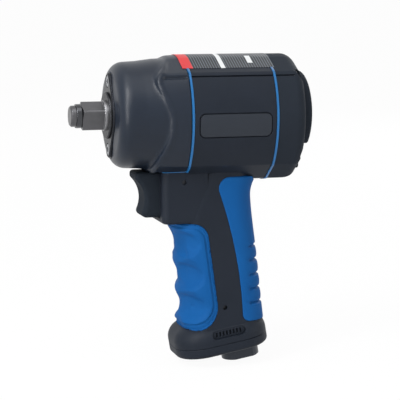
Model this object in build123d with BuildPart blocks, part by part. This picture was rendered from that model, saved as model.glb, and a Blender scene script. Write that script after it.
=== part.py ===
"""Air impact wrench with a half-inch square drive and a twin-hammer mechanism.

Millimetres. +X runs rearwards along the drive axis, +Z is up, -Y is the left side, and the origin is the
root of the drive square, where a socket seats.
"""
import math
import os

from build123d import *

os.makedirs("parts", exist_ok=True)

# Fits
slip = 0.05                  # radial play between pieces that are pushed together
running = 0.05               # radial play of a turning or sliding fit
free_gap = 0.3               # room between pieces that pass each other
seal_gap = 0.02              # room around a rubber ring in its groove

# Drive square and its socket retainer
square_size = 12.7
square_length = 18.6
square_edge_round = 2.0
square_turn = 25.0           # rest angle of the square about the drive axis
tip_r = 5.9
tip_chamfer = 0.8
tip_lead = 1.8               # length of the cone that trims the square's corners behind the groove
retainer_setback = 3.1       # tip of the square to the retainer groove
retainer_groove_width = 3.1
retainer_groove_r = 4.6
retainer_o_ring_wire_r = 0.55
retainer_wall = 1.0
retainer_split = 2.2

# Anvil, its bushing and the nose plate
anvil_r = 8.4
anvil_core_r = 8.0
anvil_shoulder_r = 11.5
anvil_shoulder_length = 2.8
anvil_lug_r = 10.4
anvil_lug_half_angle = 22.0
bushing_wall = 2.1
bushing_flange_r = 13.0
bushing_flange_thickness = 1.4
nose_face = 2.8
nose_plate_thickness = 4.0
nose_plate_r = 15.3
nose_ear_r = 4.8
nose_screw_reach = 19.0
nose_screw_sink = 2.4        # depth of the screw heads' seats in the nose plate
nose_screw_length = 11.0

# Fastener sizes
m4_r = 2.0
m4_head_r = 3.5
m4_head_height = 2.4
m3_r = 1.5
m3_head_r = 2.75
m3_head_height = 1.9
key_share = 0.45             # radius of the key socket as a share of the head's radius

# Barrel section shared by the hammer case, motor housing and rear cover
crease_y = 24.5
crease_z = 24.3
ridge_y = 9.0
ridge_z = 31.6
ridge_top = 33.2
side_y = 33.0
side_z = -1.0
chine_y = 24.0
chine_z = -27.5
keel_y = 11.0
keel_z = -36.4
keel_bottom = -37.8
crease_round = 3.4
crease_groove_r = 0.6
crease_groove_drop = 2.2     # groove's middle below the crease
crease_groove_out = 1.0      # groove's middle outside the crease
crease_groove_front = 29.0
crease_groove_rear = 104.0

# Hammer case
nose_edge_r = 29.3
nose_setback = 2.2           # nose face to the sharp corner of the nose profile
nose_round = 7.6
nose_waist = (18.7, 30.0)    # station and radius where the nose begins to widen
nose_flare = (28.0, 31.1)    # station and radius where it ends
case_rear_r = 31.6
case_seam = 43.0
case_wall_rear = 19.4        # rear face of the nose wall
case_belly = -30.6
shoulder_length = 21.5       # barrel section in front of the seam
shoulder_taper = 3.0
wave_points = [
    (40.0, 38.0),
    (34.4, 31.6),
    (31.0, 27.2),
    (25.6, 21.0),
    (29.0, 10.5),
    (32.4, 0.0),
    (31.4, -10.0),
    (25.2, -26.0),
    (23.6, -38.0),
]
wave_round = 1.6
bolt_square = 21.2
bolt_thread_depth = 6.5

# Trim rings between the shells
trim_thickness = 1.2
trim_proud = 0.4
trim_bore_r = 27.4
belly_strip_thickness = 0.6

# Hammers
cage_r = 24.4
cage_play = 0.5
cage_plate_thickness = 3.0
cage_rear_thickness = 5.6
cage_front_play = 0.8
cage_web_thickness = 2.0
cage_web_half_angle = 40.0
hammer_r = 20.9
hammer_bore_r = 11.9
hammer_length = 8.7
hammer_play = 0.4
hammer_lug_r = 9.5
hammer_lug_half_angle = 18.0
hammer_lug_turn = 75.0       # angle from the anvil's lug to the hammer's lug
hammer_swing = 3.0
hammer_pin_r = 2.6
hammer_pin_reach = 20.2
spline_core_r = 4.6
spline_tooth_r = 5.6
spline_tooth_width = 1.8
spline_count = 8

# Motor
barrel_length = 47.1
spigot_depth = 3.8
end_plate_thickness = 7.0
bearing_lip = 1.0
cylinder_length = 28.0
cylinder_wall = 3.3
rotor_r = 19.4
eccentricity = 1.8
vane_count = 7
vane_thickness = 2.1
vane_play = 0.1
vane_foot_r = 9.6
dowel_r = 1.5
dowel_z = 23.2
dowel_bite = 4.0             # how far the dowel goes into each end plate
exhaust_port_angle = 20.0
exhaust_port_width = 5.0
front_journal_r = 6.0
front_bearing_r = 13.0
front_ball_r = 1.9
rear_journal_r = 5.0
rear_bearing_r = 11.0
rear_ball_r = 1.6
ball_count = 9
ball_play = 0.06
race_wall = 2.2
ball_cage_width = 5.2
ball_cage_play = 0.4

# Rear cover and reverse lever
cover_length = 17.5
cover_round = 7.0
boss_r = 23.5
boss_height = 5.6
boss_round = 2.0
boss_cut = -16.9
boss_cavity_r = 14.0
cover_cavity_depth = 3.0
cover_wall = 3.7
bolt_pocket_r = 3.9
bolt_pocket_depth = 9.5
valve_z = -23.5
valve_r = 5.0
valve_stem_r = 2.5
lever_thickness = 3.4
lever_hub_r = 5.6
lever_tip_z = -32.4
lever_tip_half = 4.4
lever_tip_round = 1.8
lever_screw_length = 7.0
lever_o_ring_wire_r = 0.8
gallery_r = 2.4
gallery_z = -31.3

# Trigger block, trigger and its rod
block_front = 30.4
block_rear = 56.0
block_bottom = -60.4
block_half = 17.2
block_round = 3.6
block_lip_round = 1.6
trigger_half = 9.4
trigger_bottom = -57.3
trigger_tip = 16.8
trigger_front = 18.4
trigger_dish = 21.8
trigger_rear = 36.0
trigger_travel = 6.0
trigger_foot_round = 2.6
trigger_edge_round = 2.4
hood_thickness = 3.8
hood_round = 1.9
trigger_pin_x = 42.6
trigger_pin_z = -36.8
trigger_pin_r = 1.3
trigger_pin_sink = 1.5
tongue_half = 4.0
tongue_wall = 2.3            # material around the pin's slot
rod_z = -47.5
rod_r = 2.0
rod_grip = 8.0               # how far the rod goes into the trigger
rod_bushing_r = 5.0
rod_seal_wire_r = 0.9

# Handle: each station has its height, front, back and width
handle_stations = [
    (-27.0, 47.0, 83.4, 35.0),
    (-47.0, 42.0, 83.8, 35.0),
    (-62.0, 38.2, 85.2, 35.6),
    (-80.0, 40.9, 87.4, 37.0),
    (-100.0, 43.2, 89.4, 38.6),
    (-118.0, 44.0, 91.2, 40.4),
    (-137.0, 44.0, 93.0, 42.0),
]
handle_corner = 13.5

# Grips: outlines seen from the side
grip_thickness = 3.0
front_grip_thickness = 3.6
grip_proud = 0.4
grip_clear = 20.0            # how far the outlines run out past the handle
front_grip_top = -60.5
front_grip_top_rear = 55.5
front_grip_bottom = -122.0
front_grip_bottom_rear = 63.4
front_grip_corner = 9.0
front_grip_base_corner = 14.0
finger_count = 3
finger_pitch = 17.8
finger_first_z = -72.6
finger_r = 16.0
finger_wrap_r = 23.0         # plan radius of the hollows' floor, which wraps round the grip's front
finger_depth = 1.9
rear_grip_top = -34.5
rear_grip_top_front = 59.5
rear_grip_middle = (70.8, -72.0)
rear_grip_bottom = -117.0
rear_grip_bottom_front = 76.0
rear_grip_corner = 4.0
rear_grip_top_corner = 6.5
rib_count = 5
rib_pitch = 8.1
rib_first_z = -74.6
rib_groove = 1.8
rib_depth = 1.0
rib_front = 80.6

# Base of the handle, in a tilted frame whose origin is the air inlet at the base's lower face
base_tilt = 9.6
inlet_x = 79.0
inlet_z = -132.6
base_length = 54.2
base_width = 46.0
base_corner = 17.0
base_centre = -11.7
base_cap_thickness = 6.0
base_shoulder = 17.0         # top of the flared base above its lower face
base_shoulder_round = 8.5
base_cap_round = 2.4
base_cap_floor = 2.5
base_seam = 0.6              # chamfer that marks the seam above the cap

# Air inlet
inlet_thread_r = 5.7
inlet_thread_length = 13.6
inlet_bore_r = 4.6
inlet_collar_r = 10.8
inlet_collar_length = 8.2
inlet_sleeve_r = 9.4
inlet_sleeve_top = 30.0
inlet_flat_half = 9.4        # half the distance across the spanner flats
inlet_flat_length = 5.5
inlet_o_ring_s = 18.0
inlet_o_ring_wire_r = 0.9
inlet_pin_s = 26.0
inlet_pin_r = 1.25
inlet_pin_bite = 1.4         # depth of the pin's groove in the sleeve
inlet_pin_half = 17.5
screen_r = 5.4
screen_flange = 1.0
screen_height = 8.0
screen_wall = 0.7
screen_slot = 0.9

# Throttle valve
chamber_r = 8.4
seat_s = 64.0
seat_thickness = 3.0
seat_hole_r = 3.3
seat_gap = 0.1
upper_chamber_r = 6.5
upper_chamber_shift = 2.0    # the chamber's axis behind the stem, which tips into that room
upper_chamber_top = 103.0
throttle_head_r = 7.0
throttle_head_thickness = 2.9
throttle_stem_r = 1.75
throttle_stem_above_rod = 2.6
spring_r = 6.8
spring_wire_r = 0.6
spring_turns = 7

# Exhaust
exhaust_slot_front = 56.0
exhaust_slot_length = 8.0
exhaust_slot_inner = 7.6
exhaust_slot_outer = 11.5
exhaust_slot_top = -24.0
exhaust_slot_bottom = -64.0
exhaust_duct_front = 49.6
exhaust_duct_rear = 58.0
exhaust_duct_top = -60.0
muffler_top = -76.0
muffler_bottom = -118.0
base_screw_end_inset = 8.8   # from the base's front end
base_screw_side_inset = 7.5
base_screw_length = 10.0
outlet_length = 16.0
outlet_width = 2.4
outlet_pitch = 5.0
outlet_count = 3
louvre_forward = 9.9
louvre_s = 11.8
louvre_length = 19.6
louvre_height = 4.6
louvre_inner = 19.0
louvre_thickness = 1.9
louvre_slot = 1.0
louvre_slot_depth = 1.2
louvre_pitch = 2.0
louvre_slots = 8

# Name plates
plate_front = 47.6
plate_length = 40.6
plate_middle_z = -4.2
plate_height = 12.4
plate_corner = 3.0
plate_sink = 0.8             # depth of the plates' pockets
plate_proud = 0.15
plate_gap = 0.6              # groove around each plate in its pocket

# Stations along the drive axis
bushing_r = anvil_r + running + bushing_wall
nose_plate_rear = nose_face + nose_plate_thickness
nose_seat_x = nose_face + nose_screw_sink
cage_front = case_wall_rear + cage_front_play
front_hammer_x = cage_front + cage_plate_thickness + hammer_play
rear_hammer_x = front_hammer_x + hammer_length + hammer_play
cage_rear_x = rear_hammer_x + hammer_length + hammer_play
cage_end = cage_rear_x + cage_rear_thickness
cavity_r = cage_r + cage_play
housing_front = case_seam + trim_thickness
housing_rear = housing_front + barrel_length
cover_front = housing_rear + trim_thickness
cover_rear = cover_front + cover_length
boss_rear = cover_rear + boss_height
front_plate_x = housing_front + spigot_depth
cylinder_x = front_plate_x + end_plate_thickness
rear_plate_x = cylinder_x + cylinder_length
rear_plate_end = rear_plate_x + end_plate_thickness
bearing_width = end_plate_thickness - bearing_lip
rotor_front = cylinder_x + free_gap
rotor_rear = rear_plate_x - free_gap
cylinder_bore_r = rotor_r + free_gap + eccentricity
cylinder_r = cylinder_bore_r + eccentricity + cylinder_wall
motor_bore_r = cylinder_r + slip
bolt_head_x = cover_rear - bolt_pocket_depth
valve_front = cover_front + cover_cavity_depth
valve_rear = cover_rear - cover_wall
lever_front = cover_rear + free_gap
lever_rear = lever_front + lever_thickness
stem_end = lever_rear - free_gap

# Stations of the trigger and its rod
block_top = case_belly - belly_strip_thickness
trigger_top = block_top - free_gap
pocket_rear = trigger_rear + trigger_travel + 2 * free_gap
tongue_rise = trigger_pin_r + tongue_wall
tongue_rear = trigger_pin_x + tongue_rise

# Handle frame: local x runs rearwards along the base, local z runs up the handle
tilt = math.radians(base_tilt)
handle_frame = Plane(
    origin=(inlet_x, 0, inlet_z),
    x_dir=(math.cos(tilt), 0, math.sin(tilt)),
    z_dir=(-math.sin(tilt), 0, math.cos(tilt)),
)
handle_axis = Axis(handle_frame.origin, handle_frame.z_dir)
rod_s = (rod_z - inlet_z) / math.cos(tilt)
rod_meets_stem = inlet_x - rod_s * math.sin(tilt)
rod_tip = rod_meets_stem - throttle_stem_r / math.cos(tilt) - free_gap
rod_bushing_end = rod_meets_stem + (upper_chamber_shift - upper_chamber_r) / math.cos(tilt) - free_gap
rod_seal_x = (pocket_rear + rod_bushing_end) / 2
throttle_top = rod_s + throttle_stem_above_rod
head_top = seat_s - seat_gap
head_bottom = head_top - throttle_head_thickness
screen_floor = inlet_sleeve_top + screen_flange

low = (Align.CENTER, Align.CENTER, Align.MIN)


def turned(start, end, radius, y=0.0, z=0.0, mode=Mode.ADD):
    """A cylinder along X in the current part."""
    with Locations((start, y, z)):
        Cylinder(radius, end - start, rotation=(0, 90, 0), align=low, mode=mode)


def upright(start, end, radius, x=0.0, y=0.0, mode=Mode.ADD):
    """A cylinder along the handle's own axis in the current part."""
    with Locations(handle_frame.location * Location((x, y, start))):
        Cylinder(radius, end - start, align=low, mode=mode)


def crosswise(x, z, radius, half, mode=Mode.ADD):
    """A cylinder along Y in the current part, centred on the middle plane."""
    with Locations((x, 0, z)):
        Cylinder(radius, 2 * half, rotation=(90, 0, 0), mode=mode)


def block(front, rear, half, bottom, top, mode=Mode.ADD):
    """A box centred on the middle plane in the current part."""
    with Locations(((front + rear) / 2, 0, (bottom + top) / 2)):
        Box(rear - front, 2 * half, top - bottom, mode=mode)


def crease_groove(side):
    """Cut the thin groove under one of the barrel's upper creases from the current part."""
    groove_y = side * (crease_y + crease_groove_out)
    groove_z = crease_z - crease_groove_drop
    turned(crease_groove_front, crease_groove_rear, crease_groove_r, groove_y, groove_z, mode=Mode.SUBTRACT)


def ring_sector(inner, outer, middle, half_angle):
    """The part of a flat ring within half_angle of the direction middle."""
    with BuildSketch() as sector:
        with BuildLine():
            outside = CenterArc((0, 0), outer, middle - half_angle, 2 * half_angle)
            inside = CenterArc((0, 0), inner, middle - half_angle, 2 * half_angle)
            Line(outside @ 0, inside @ 0)
            Line(outside @ 1, inside @ 1)
        make_face()
    return sector.sketch


def spline_outline(grow):
    """Drive spline of the rotor, grown by grow on every side."""
    with BuildSketch() as outline:
        Circle(spline_core_r + grow)
        with PolarLocations(0, spline_count):
            Rectangle(spline_tooth_r + grow, spline_tooth_width + 2 * grow, align=(Align.MIN, Align.CENTER))
    return outline.sketch


def socket_screw(shank_r, shank_length, head_r, head_height):
    """A socket screw along Z, with the underside of its head at the origin and its head upwards."""
    with BuildPart() as screw:
        Cylinder(head_r, head_height, align=low)
        fillet(screw.edges().filter_by(GeomType.CIRCLE).sort_by(Axis.Z)[-1], head_height / 3)
        with BuildSketch(Plane.XY.offset(head_height)):
            RegularPolygon(head_r * key_share, 6)
        extrude(amount=-head_height / 2, mode=Mode.SUBTRACT)
        with Locations((0, 0, -shank_length)):
            Cylinder(shank_r, shank_length, align=low)
    return screw.part


def facing(x, y, z, direction):
    """Location at a point, with its own z axis along direction."""
    return Plane(origin=(x, y, z), z_dir=direction).location


def handle_form(grow):
    """The handle's outer form, grown by grow on every side."""
    with BuildPart() as form:
        for height, front, back, width in handle_stations:
            with BuildSketch(Plane.XY.offset(height)):
                with Locations(((front + back) / 2, 0)):
                    RectangleRounded(back - front + 2 * grow, width + 2 * grow, handle_corner + grow)
        loft()
    return form.part


def form_front(form, height):
    """X of a form's foremost point at a height."""
    with BuildPart() as slice_there:
        add(form)
        with Locations((0, 0, height)):
            Box(4 * base_length, 2 * base_width, slip, mode=Mode.INTERSECT)
    return slice_there.part.bounding_box().min.X


# Outlines that several pieces share
with BuildSketch() as barrel_outline:
    with BuildLine():
        Line((crease_y, crease_z), (ridge_y, ridge_z))
        ThreePointArc((ridge_y, ridge_z), (0, ridge_top), (-ridge_y, ridge_z))
        Line((-ridge_y, ridge_z), (-crease_y, crease_z))
        ThreePointArc((-crease_y, crease_z), (-side_y, side_z), (-chine_y, chine_z))
        Line((-chine_y, chine_z), (-keel_y, keel_z))
        ThreePointArc((-keel_y, keel_z), (0, keel_bottom), (keel_y, keel_z))
        Line((keel_y, keel_z), (chine_y, chine_z))
        ThreePointArc((chine_y, chine_z), (side_y, side_z), (crease_y, crease_z))
    make_face()
    fillet(barrel_outline.vertices().filter_by(lambda corner: abs(corner.X) > keel_y + slip), crease_round)

with BuildSketch() as trim_outline:
    add(barrel_outline.sketch)
    offset(amount=trim_proud)
    Circle(trim_bore_r, mode=Mode.SUBTRACT)
    with GridLocations(2 * bolt_square, 2 * bolt_square, 2, 2):
        Circle(m4_r + free_gap, mode=Mode.SUBTRACT)

with BuildSketch() as nose_plate_outline:
    Circle(nose_plate_r)
    with GridLocations(0, 2 * nose_screw_reach, 1, 2):
        Circle(nose_ear_r)
    make_hull()

with BuildSketch() as base_outline:
    with Locations((base_centre, 0)):
        RectangleRounded(base_length, base_width, base_corner)

bolt_places = [(y, z) for y in (-bolt_square, bolt_square) for z in (-bolt_square, bolt_square)]
base_screw_x = base_centre - base_length / 2 + base_screw_end_inset
base_screw_y = base_width / 2 - base_screw_side_inset
base_screw_places = [(base_screw_x, -base_screw_y), (base_screw_x, base_screw_y)]

# Anvil: drive square, bearing shank, thrust shoulder and two lugs
shoulder_x = case_wall_rear + free_gap
shoulder_end = shoulder_x + anvil_shoulder_length
groove_x = retainer_setback - square_length
groove_end = groove_x + retainer_groove_width
with BuildPart() as anvil:
    with BuildSketch(Plane.YZ):
        RectangleRounded(square_size, square_size, square_edge_round, rotation=square_turn)
    extrude(amount=-square_length)
    with BuildSketch(Plane.XZ):
        with BuildLine():
            Polyline(
                (0, 0),
                (-square_length, 0),
                (-square_length, tip_r - tip_chamfer),
                (tip_chamfer - square_length, tip_r),
                (groove_x, tip_r),
                (groove_x, retainer_groove_r),
                (groove_end, retainer_groove_r),
                (groove_end, tip_r),
                (groove_end + tip_lead, square_size),
                (0, square_size),
                close=True,
            )
        make_face()
    revolve(axis=Axis.X, mode=Mode.INTERSECT)
    turned(0, shoulder_x, anvil_r)
    turned(shoulder_x, shoulder_end, anvil_shoulder_r)
    turned(shoulder_end, cage_rear_x - free_gap, anvil_core_r)
    for lug_x, lug_angle in ((front_hammer_x, 0), (rear_hammer_x, 180)):
        with BuildSketch(Plane.YZ.offset(lug_x + free_gap)):
            add(ring_sector(anvil_core_r / 2, anvil_lug_r, lug_angle, anvil_lug_half_angle))
        extrude(amount=hammer_length - 2 * free_gap)

# Rubber ring at the bottom of the retainer groove
groove_middle = groove_x + retainer_groove_width / 2
retainer_bore = retainer_groove_r + 2 * (retainer_o_ring_wire_r + seal_gap)
retainer_o_ring_r = retainer_groove_r + seal_gap + retainer_o_ring_wire_r
with BuildPart() as retaining_o_ring:
    with Locations((groove_middle, 0, 0)):
        Torus(retainer_o_ring_r, retainer_o_ring_wire_r, rotation=(0, 90, 0))

# Split friction ring that holds a socket on the square
with BuildPart() as socket_retaining_ring:
    with BuildSketch(Plane.YZ.offset(groove_x + slip)):
        Circle(retainer_bore + retainer_wall)
        Circle(retainer_bore, mode=Mode.SUBTRACT)
        with Locations((0, -retainer_bore)):
            Rectangle(retainer_split, 2 * retainer_bore, mode=Mode.SUBTRACT)
    extrude(amount=retainer_groove_width - 2 * slip)
    ring_rims = socket_retaining_ring.edges().filter_by(GeomType.CIRCLE).group_by(SortBy.RADIUS)[-1]
    fillet(ring_rims, retainer_wall / 3)

# Flanged bushing that carries the anvil
with BuildPart() as anvil_bushing:
    turned(nose_face - bushing_flange_thickness, nose_face, bushing_flange_r)
    chamfer(anvil_bushing.edges().sort_by(Axis.X)[0], bushing_flange_thickness / 3)
    turned(nose_face, case_wall_rear, bushing_r)
    turned(nose_face - 2 * bushing_flange_thickness, shoulder_x, anvil_r + running, mode=Mode.SUBTRACT)

# Two-eared nose plate around the bushing
with BuildPart() as nose_plate:
    with BuildSketch(Plane.YZ.offset(nose_face)):
        add(nose_plate_outline.sketch)
        Circle(bushing_r + slip, mode=Mode.SUBTRACT)
        with GridLocations(0, 2 * nose_screw_reach, 1, 2):
            Circle(m4_r + slip, mode=Mode.SUBTRACT)
    extrude(amount=nose_plate_thickness)
    chamfer(nose_plate.faces().sort_by(Axis.X)[0].outer_wire().edges(), nose_plate_thickness / 6)
    for side in (-1, 1):
        seat_z = side * nose_screw_reach
        turned(nose_face - 1, nose_seat_x, m4_head_r + slip, z=seat_z, mode=Mode.SUBTRACT)

with BuildPart() as nose_screws:
    with Locations(*[facing(nose_seat_x, 0, side * nose_screw_reach, (-1, 0, 0)) for side in (-1, 1)]):
        add(socket_screw(m4_r, nose_screw_length, m4_head_r, m4_head_height))

# Barrel section on the hammer case, ended by a wave that runs forward along the creases
with BuildPart() as case_shoulder:
    with BuildSketch(Plane.YZ.offset(case_seam)):
        add(barrel_outline.sketch)
    extrude(amount=-shoulder_length, taper=shoulder_taper)
    block(0, case_seam + 1, side_y + 1, 2 * case_belly, case_belly, mode=Mode.SUBTRACT)
    with BuildSketch(Plane.XZ):
        with BuildLine():
            wave = Spline(*wave_points)
            Polyline(wave @ 1, (0, wave_points[-1][1]), (0, wave_points[0][1]), wave @ 0)
        make_face()
    extrude(amount=2 * side_y, both=True, mode=Mode.SUBTRACT)
    wave_edges = case_shoulder.faces().sort_by(Axis.X)[0].edges()
    fillet(wave_edges.filter_by(lambda edge: edge.center().Z > case_belly + slip), wave_round)

# Hammer case: turned nose that grows into the barrel section
with BuildPart() as hammer_case:
    with BuildSketch(Plane.XZ):
        nose_corner = (nose_face + nose_setback, nose_edge_r)
        with BuildLine():
            Polyline(
                (nose_face + nose_setback / 3, 0),
                (nose_face + nose_setback / 3, nose_plate_r),
                nose_corner,
                nose_waist,
                nose_flare,
                (case_seam, case_rear_r),
                (case_seam, 0),
                close=True,
            )
        nose_profile = make_face()
        fillet(nose_profile.vertices().sort_by_distance(nose_corner)[0], nose_round)
    revolve(axis=Axis.X)
    add(case_shoulder.part)
    block(case_wall_rear, case_seam + 1, side_y + 1, 2 * case_belly, case_belly, mode=Mode.SUBTRACT)
    turned(case_seam, front_plate_x, cylinder_r)
    turned(case_wall_rear, front_plate_x + 1, cavity_r, mode=Mode.SUBTRACT)
    turned(0, case_wall_rear + 1, bushing_r + slip, mode=Mode.SUBTRACT)
    with BuildSketch(Plane.YZ.offset(nose_plate_rear)):
        add(nose_plate_outline.sketch)
        offset(amount=slip)
    extrude(amount=-2 * nose_plate_rear, mode=Mode.SUBTRACT)
    for side in (-1, 1):
        hole_z = side * nose_screw_reach
        hole_end = nose_seat_x + nose_screw_length + free_gap
        turned(nose_plate_rear - 1, hole_end, m4_r + slip, z=hole_z, mode=Mode.SUBTRACT)
        crease_groove(side)
    for bolt_y, bolt_z in bolt_places:
        turned(case_seam - bolt_thread_depth, case_seam + 1, m4_r + slip, bolt_y, bolt_z, mode=Mode.SUBTRACT)

# Trim between the hammer case and the motor housing, with a strip along the case's belly
with BuildPart() as front_trim_ring:
    with BuildSketch(Plane.YZ.offset(case_seam)):
        add(trim_outline.sketch)
    extrude(amount=trim_thickness)
    block(case_seam - 1, housing_front + 1, side_y + 1, 2 * block_top, block_top, mode=Mode.SUBTRACT)
    block(block_front, housing_front, block_half + trim_proud, block_top, case_belly)

# Trim between the motor housing and the rear cover
with BuildPart() as rear_trim_ring:
    with BuildSketch(Plane.YZ.offset(housing_rear)):
        add(trim_outline.sketch)
        with Locations((0, gallery_z)):
            Circle(gallery_r, mode=Mode.SUBTRACT)
    extrude(amount=trim_thickness)

# Cage that turns with the rotor and carries the hammers on two pins
with BuildPart() as hammer_cage:
    turned(cage_front, cage_end, cage_r)
    turned(cage_front + cage_plate_thickness, cage_rear_x, 2 * cage_r, mode=Mode.SUBTRACT)
    for web_angle in (0, 180):
        with BuildSketch(Plane.YZ.offset(cage_front)):
            add(ring_sector(cage_r - cage_web_thickness, cage_r, web_angle, cage_web_half_angle))
        extrude(amount=cage_end - cage_front)
    turned(cage_front - 1, cage_rear_x - 1, anvil_shoulder_r + 2 * free_gap, mode=Mode.SUBTRACT)
    with BuildSketch(Plane.YZ.offset(cage_rear_x - 1)):
        add(spline_outline(slip))
    extrude(amount=cage_rear_thickness + 2, mode=Mode.SUBTRACT)
    for side in (-1, 1):
        pin_z = side * hammer_pin_reach
        turned(cage_front - 1, cage_end + 1, hammer_pin_r + slip, z=pin_z, mode=Mode.SUBTRACT)

with BuildPart() as hammer_pins:
    for side in (-1, 1):
        turned(cage_front, cage_end, hammer_pin_r, z=side * hammer_pin_reach)
    chamfer(hammer_pins.edges().filter_by(GeomType.CIRCLE), hammer_pin_r / 8)

# Two hammers: each swings on one pin and has room around the other
swing_room = 2 * hammer_pin_reach * math.sin(math.radians(hammer_swing))
slot_half = hammer_pin_r + swing_room + free_gap


def hammer_outline(pin_side):
    """A hammer's ring with its lug, its pivot notch at pin_side and its slot at the other pin."""
    with BuildSketch() as outline:
        Circle(hammer_r)
        Circle(hammer_bore_r, mode=Mode.SUBTRACT)
        lug_middle = 90 - 90 * pin_side + hammer_lug_turn
        add(ring_sector(hammer_lug_r, (hammer_bore_r + hammer_r) / 2, lug_middle, hammer_lug_half_angle))
        with Locations((0, pin_side * hammer_pin_reach)):
            Circle(hammer_pin_r + running, mode=Mode.SUBTRACT)
        with Locations((0, -pin_side * hammer_pin_reach)):
            Rectangle(2 * slot_half, 2 * (hammer_pin_r + 2 * free_gap), mode=Mode.SUBTRACT)
    return outline.sketch


with BuildPart() as front_hammer:
    with BuildSketch(Plane.YZ.offset(front_hammer_x)):
        add(hammer_outline(1))
    extrude(amount=hammer_length)

with BuildPart() as rear_hammer:
    with BuildSketch(Plane.YZ.offset(rear_hammer_x)):
        add(hammer_outline(-1))
    extrude(amount=hammer_length)

# Rotor with its spline, two journals and vane slots
vane_depth = rotor_r - vane_foot_r
with BuildPart() as rotor:
    with BuildSketch(Plane.YZ.offset(cage_rear_x)):
        add(spline_outline(0))
    extrude(amount=front_plate_x - cage_rear_x)
    turned(cage_end + free_gap, rotor_front, front_journal_r)
    turned(rotor_front, rotor_rear, rotor_r)
    turned(rotor_rear, rear_plate_end, rear_journal_r)
    with BuildSketch(Plane.YZ.offset(rotor_front - 1)):
        with PolarLocations(vane_foot_r - vane_play, vane_count):
            Rectangle(2 * vane_depth, vane_thickness + 2 * vane_play, align=(Align.MIN, Align.CENTER))
    extrude(amount=rotor_rear - rotor_front + 2, mode=Mode.SUBTRACT)

with BuildPart() as rotor_vanes:
    with BuildSketch(Plane.YZ.offset(rotor_front)):
        with PolarLocations(vane_foot_r, vane_count):
            Rectangle(vane_depth - vane_play, vane_thickness, align=(Align.MIN, Align.CENTER))
    extrude(amount=rotor_rear - rotor_front)

# Motor cylinder with its eccentric bore, dowel hole and exhaust ports
with BuildPart() as motor_cylinder:
    turned(cylinder_x, rear_plate_x, cylinder_r)
    turned(cylinder_x - 1, rear_plate_x + 1, cylinder_bore_r, z=-eccentricity, mode=Mode.SUBTRACT)
    turned(cylinder_x - 1, rear_plate_x + 1, dowel_r + slip, z=dowel_z, mode=Mode.SUBTRACT)
    port_x = exhaust_slot_front + exhaust_slot_length / 2
    for side in (-1, 1):
        port_turn = math.radians(exhaust_port_angle) * side
        port_direction = (0, math.sin(port_turn), -math.cos(port_turn))
        with Locations(facing(port_x, 0, 0, port_direction)):
            Cylinder(exhaust_port_width / 2, 2 * cylinder_r, align=low, mode=Mode.SUBTRACT)

# End plates: flat discs with a pocket for the bearing and a blind hole for the dowel
with BuildPart() as front_end_plate:
    turned(front_plate_x, cylinder_x, cylinder_r)
    turned(front_plate_x - 1, cylinder_x - bearing_lip, front_bearing_r + slip, mode=Mode.SUBTRACT)
    turned(front_plate_x - 1, cylinder_x + 1, front_journal_r + 2 * free_gap, mode=Mode.SUBTRACT)
    turned(cylinder_x - dowel_bite, cylinder_x + 1, dowel_r + slip, z=dowel_z, mode=Mode.SUBTRACT)

with BuildPart() as rear_end_plate:
    turned(rear_plate_x, rear_plate_end, cylinder_r)
    turned(rear_plate_x + bearing_lip, rear_plate_end + 1, rear_bearing_r + slip, mode=Mode.SUBTRACT)
    turned(rear_plate_x - 1, rear_plate_end + 1, rear_journal_r + 2 * free_gap, mode=Mode.SUBTRACT)
    turned(rear_plate_x - 1, rear_plate_x + dowel_bite, dowel_r + slip, z=dowel_z, mode=Mode.SUBTRACT)

with BuildPart() as cylinder_dowel:
    turned(cylinder_x - dowel_bite, rear_plate_x + dowel_bite, dowel_r, z=dowel_z)
    chamfer(cylinder_dowel.edges().filter_by(GeomType.CIRCLE), dowel_r / 5)


def bearing_race(start, inner, outer, ball_r, pitch_r):
    """One race of a ball bearing with its ball groove."""
    with BuildPart() as race:
        turned(start, start + bearing_width, outer)
        turned(start - 1, start + bearing_width + 1, inner, mode=Mode.SUBTRACT)
        with Locations((start + bearing_width / 2, 0, 0)):
            Torus(pitch_r, ball_r + ball_play, rotation=(0, 90, 0), mode=Mode.SUBTRACT)
    return race.part


def bearing_balls(start, inner, outer, ball_r, pitch_r):
    """The balls of a bearing in their cage."""
    middle = start + bearing_width / 2
    with BuildPart(Plane.YZ.offset(middle)) as balls:
        Cylinder(outer - race_wall - ball_cage_play, ball_cage_width)
        Cylinder(inner + race_wall + ball_cage_play, 2 * ball_cage_width, mode=Mode.SUBTRACT)
        with PolarLocations(pitch_r, ball_count):
            Cylinder(ball_r + ball_play, 4 * ball_r, rotation=(0, 90, 0), mode=Mode.SUBTRACT)
        with PolarLocations(pitch_r, ball_count):
            Sphere(ball_r)
    return balls.part


front_pitch_r = (front_journal_r + front_bearing_r) / 2
front_bearing = (front_plate_x, front_journal_r, front_bearing_r, front_ball_r, front_pitch_r)
rear_pitch_r = (rear_journal_r + rear_bearing_r) / 2
rear_bearing = (rear_plate_x + bearing_lip, rear_journal_r, rear_bearing_r, rear_ball_r, rear_pitch_r)

with BuildPart() as front_bearing_inner:
    start, inner, outer, ball_r, pitch_r = front_bearing
    add(bearing_race(start, inner + slip, inner + race_wall, ball_r, pitch_r))

with BuildPart() as front_bearing_outer:
    add(bearing_race(start, outer - race_wall, outer, ball_r, pitch_r))

with BuildPart() as front_bearing_balls:
    add(bearing_balls(*front_bearing))

with BuildPart() as rear_bearing_inner:
    start, inner, outer, ball_r, pitch_r = rear_bearing
    add(bearing_race(start, inner + slip, inner + race_wall, ball_r, pitch_r))

with BuildPart() as rear_bearing_outer:
    add(bearing_race(start, outer - race_wall, outer, ball_r, pitch_r))

with BuildPart() as rear_bearing_balls:
    add(bearing_balls(*rear_bearing))

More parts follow.
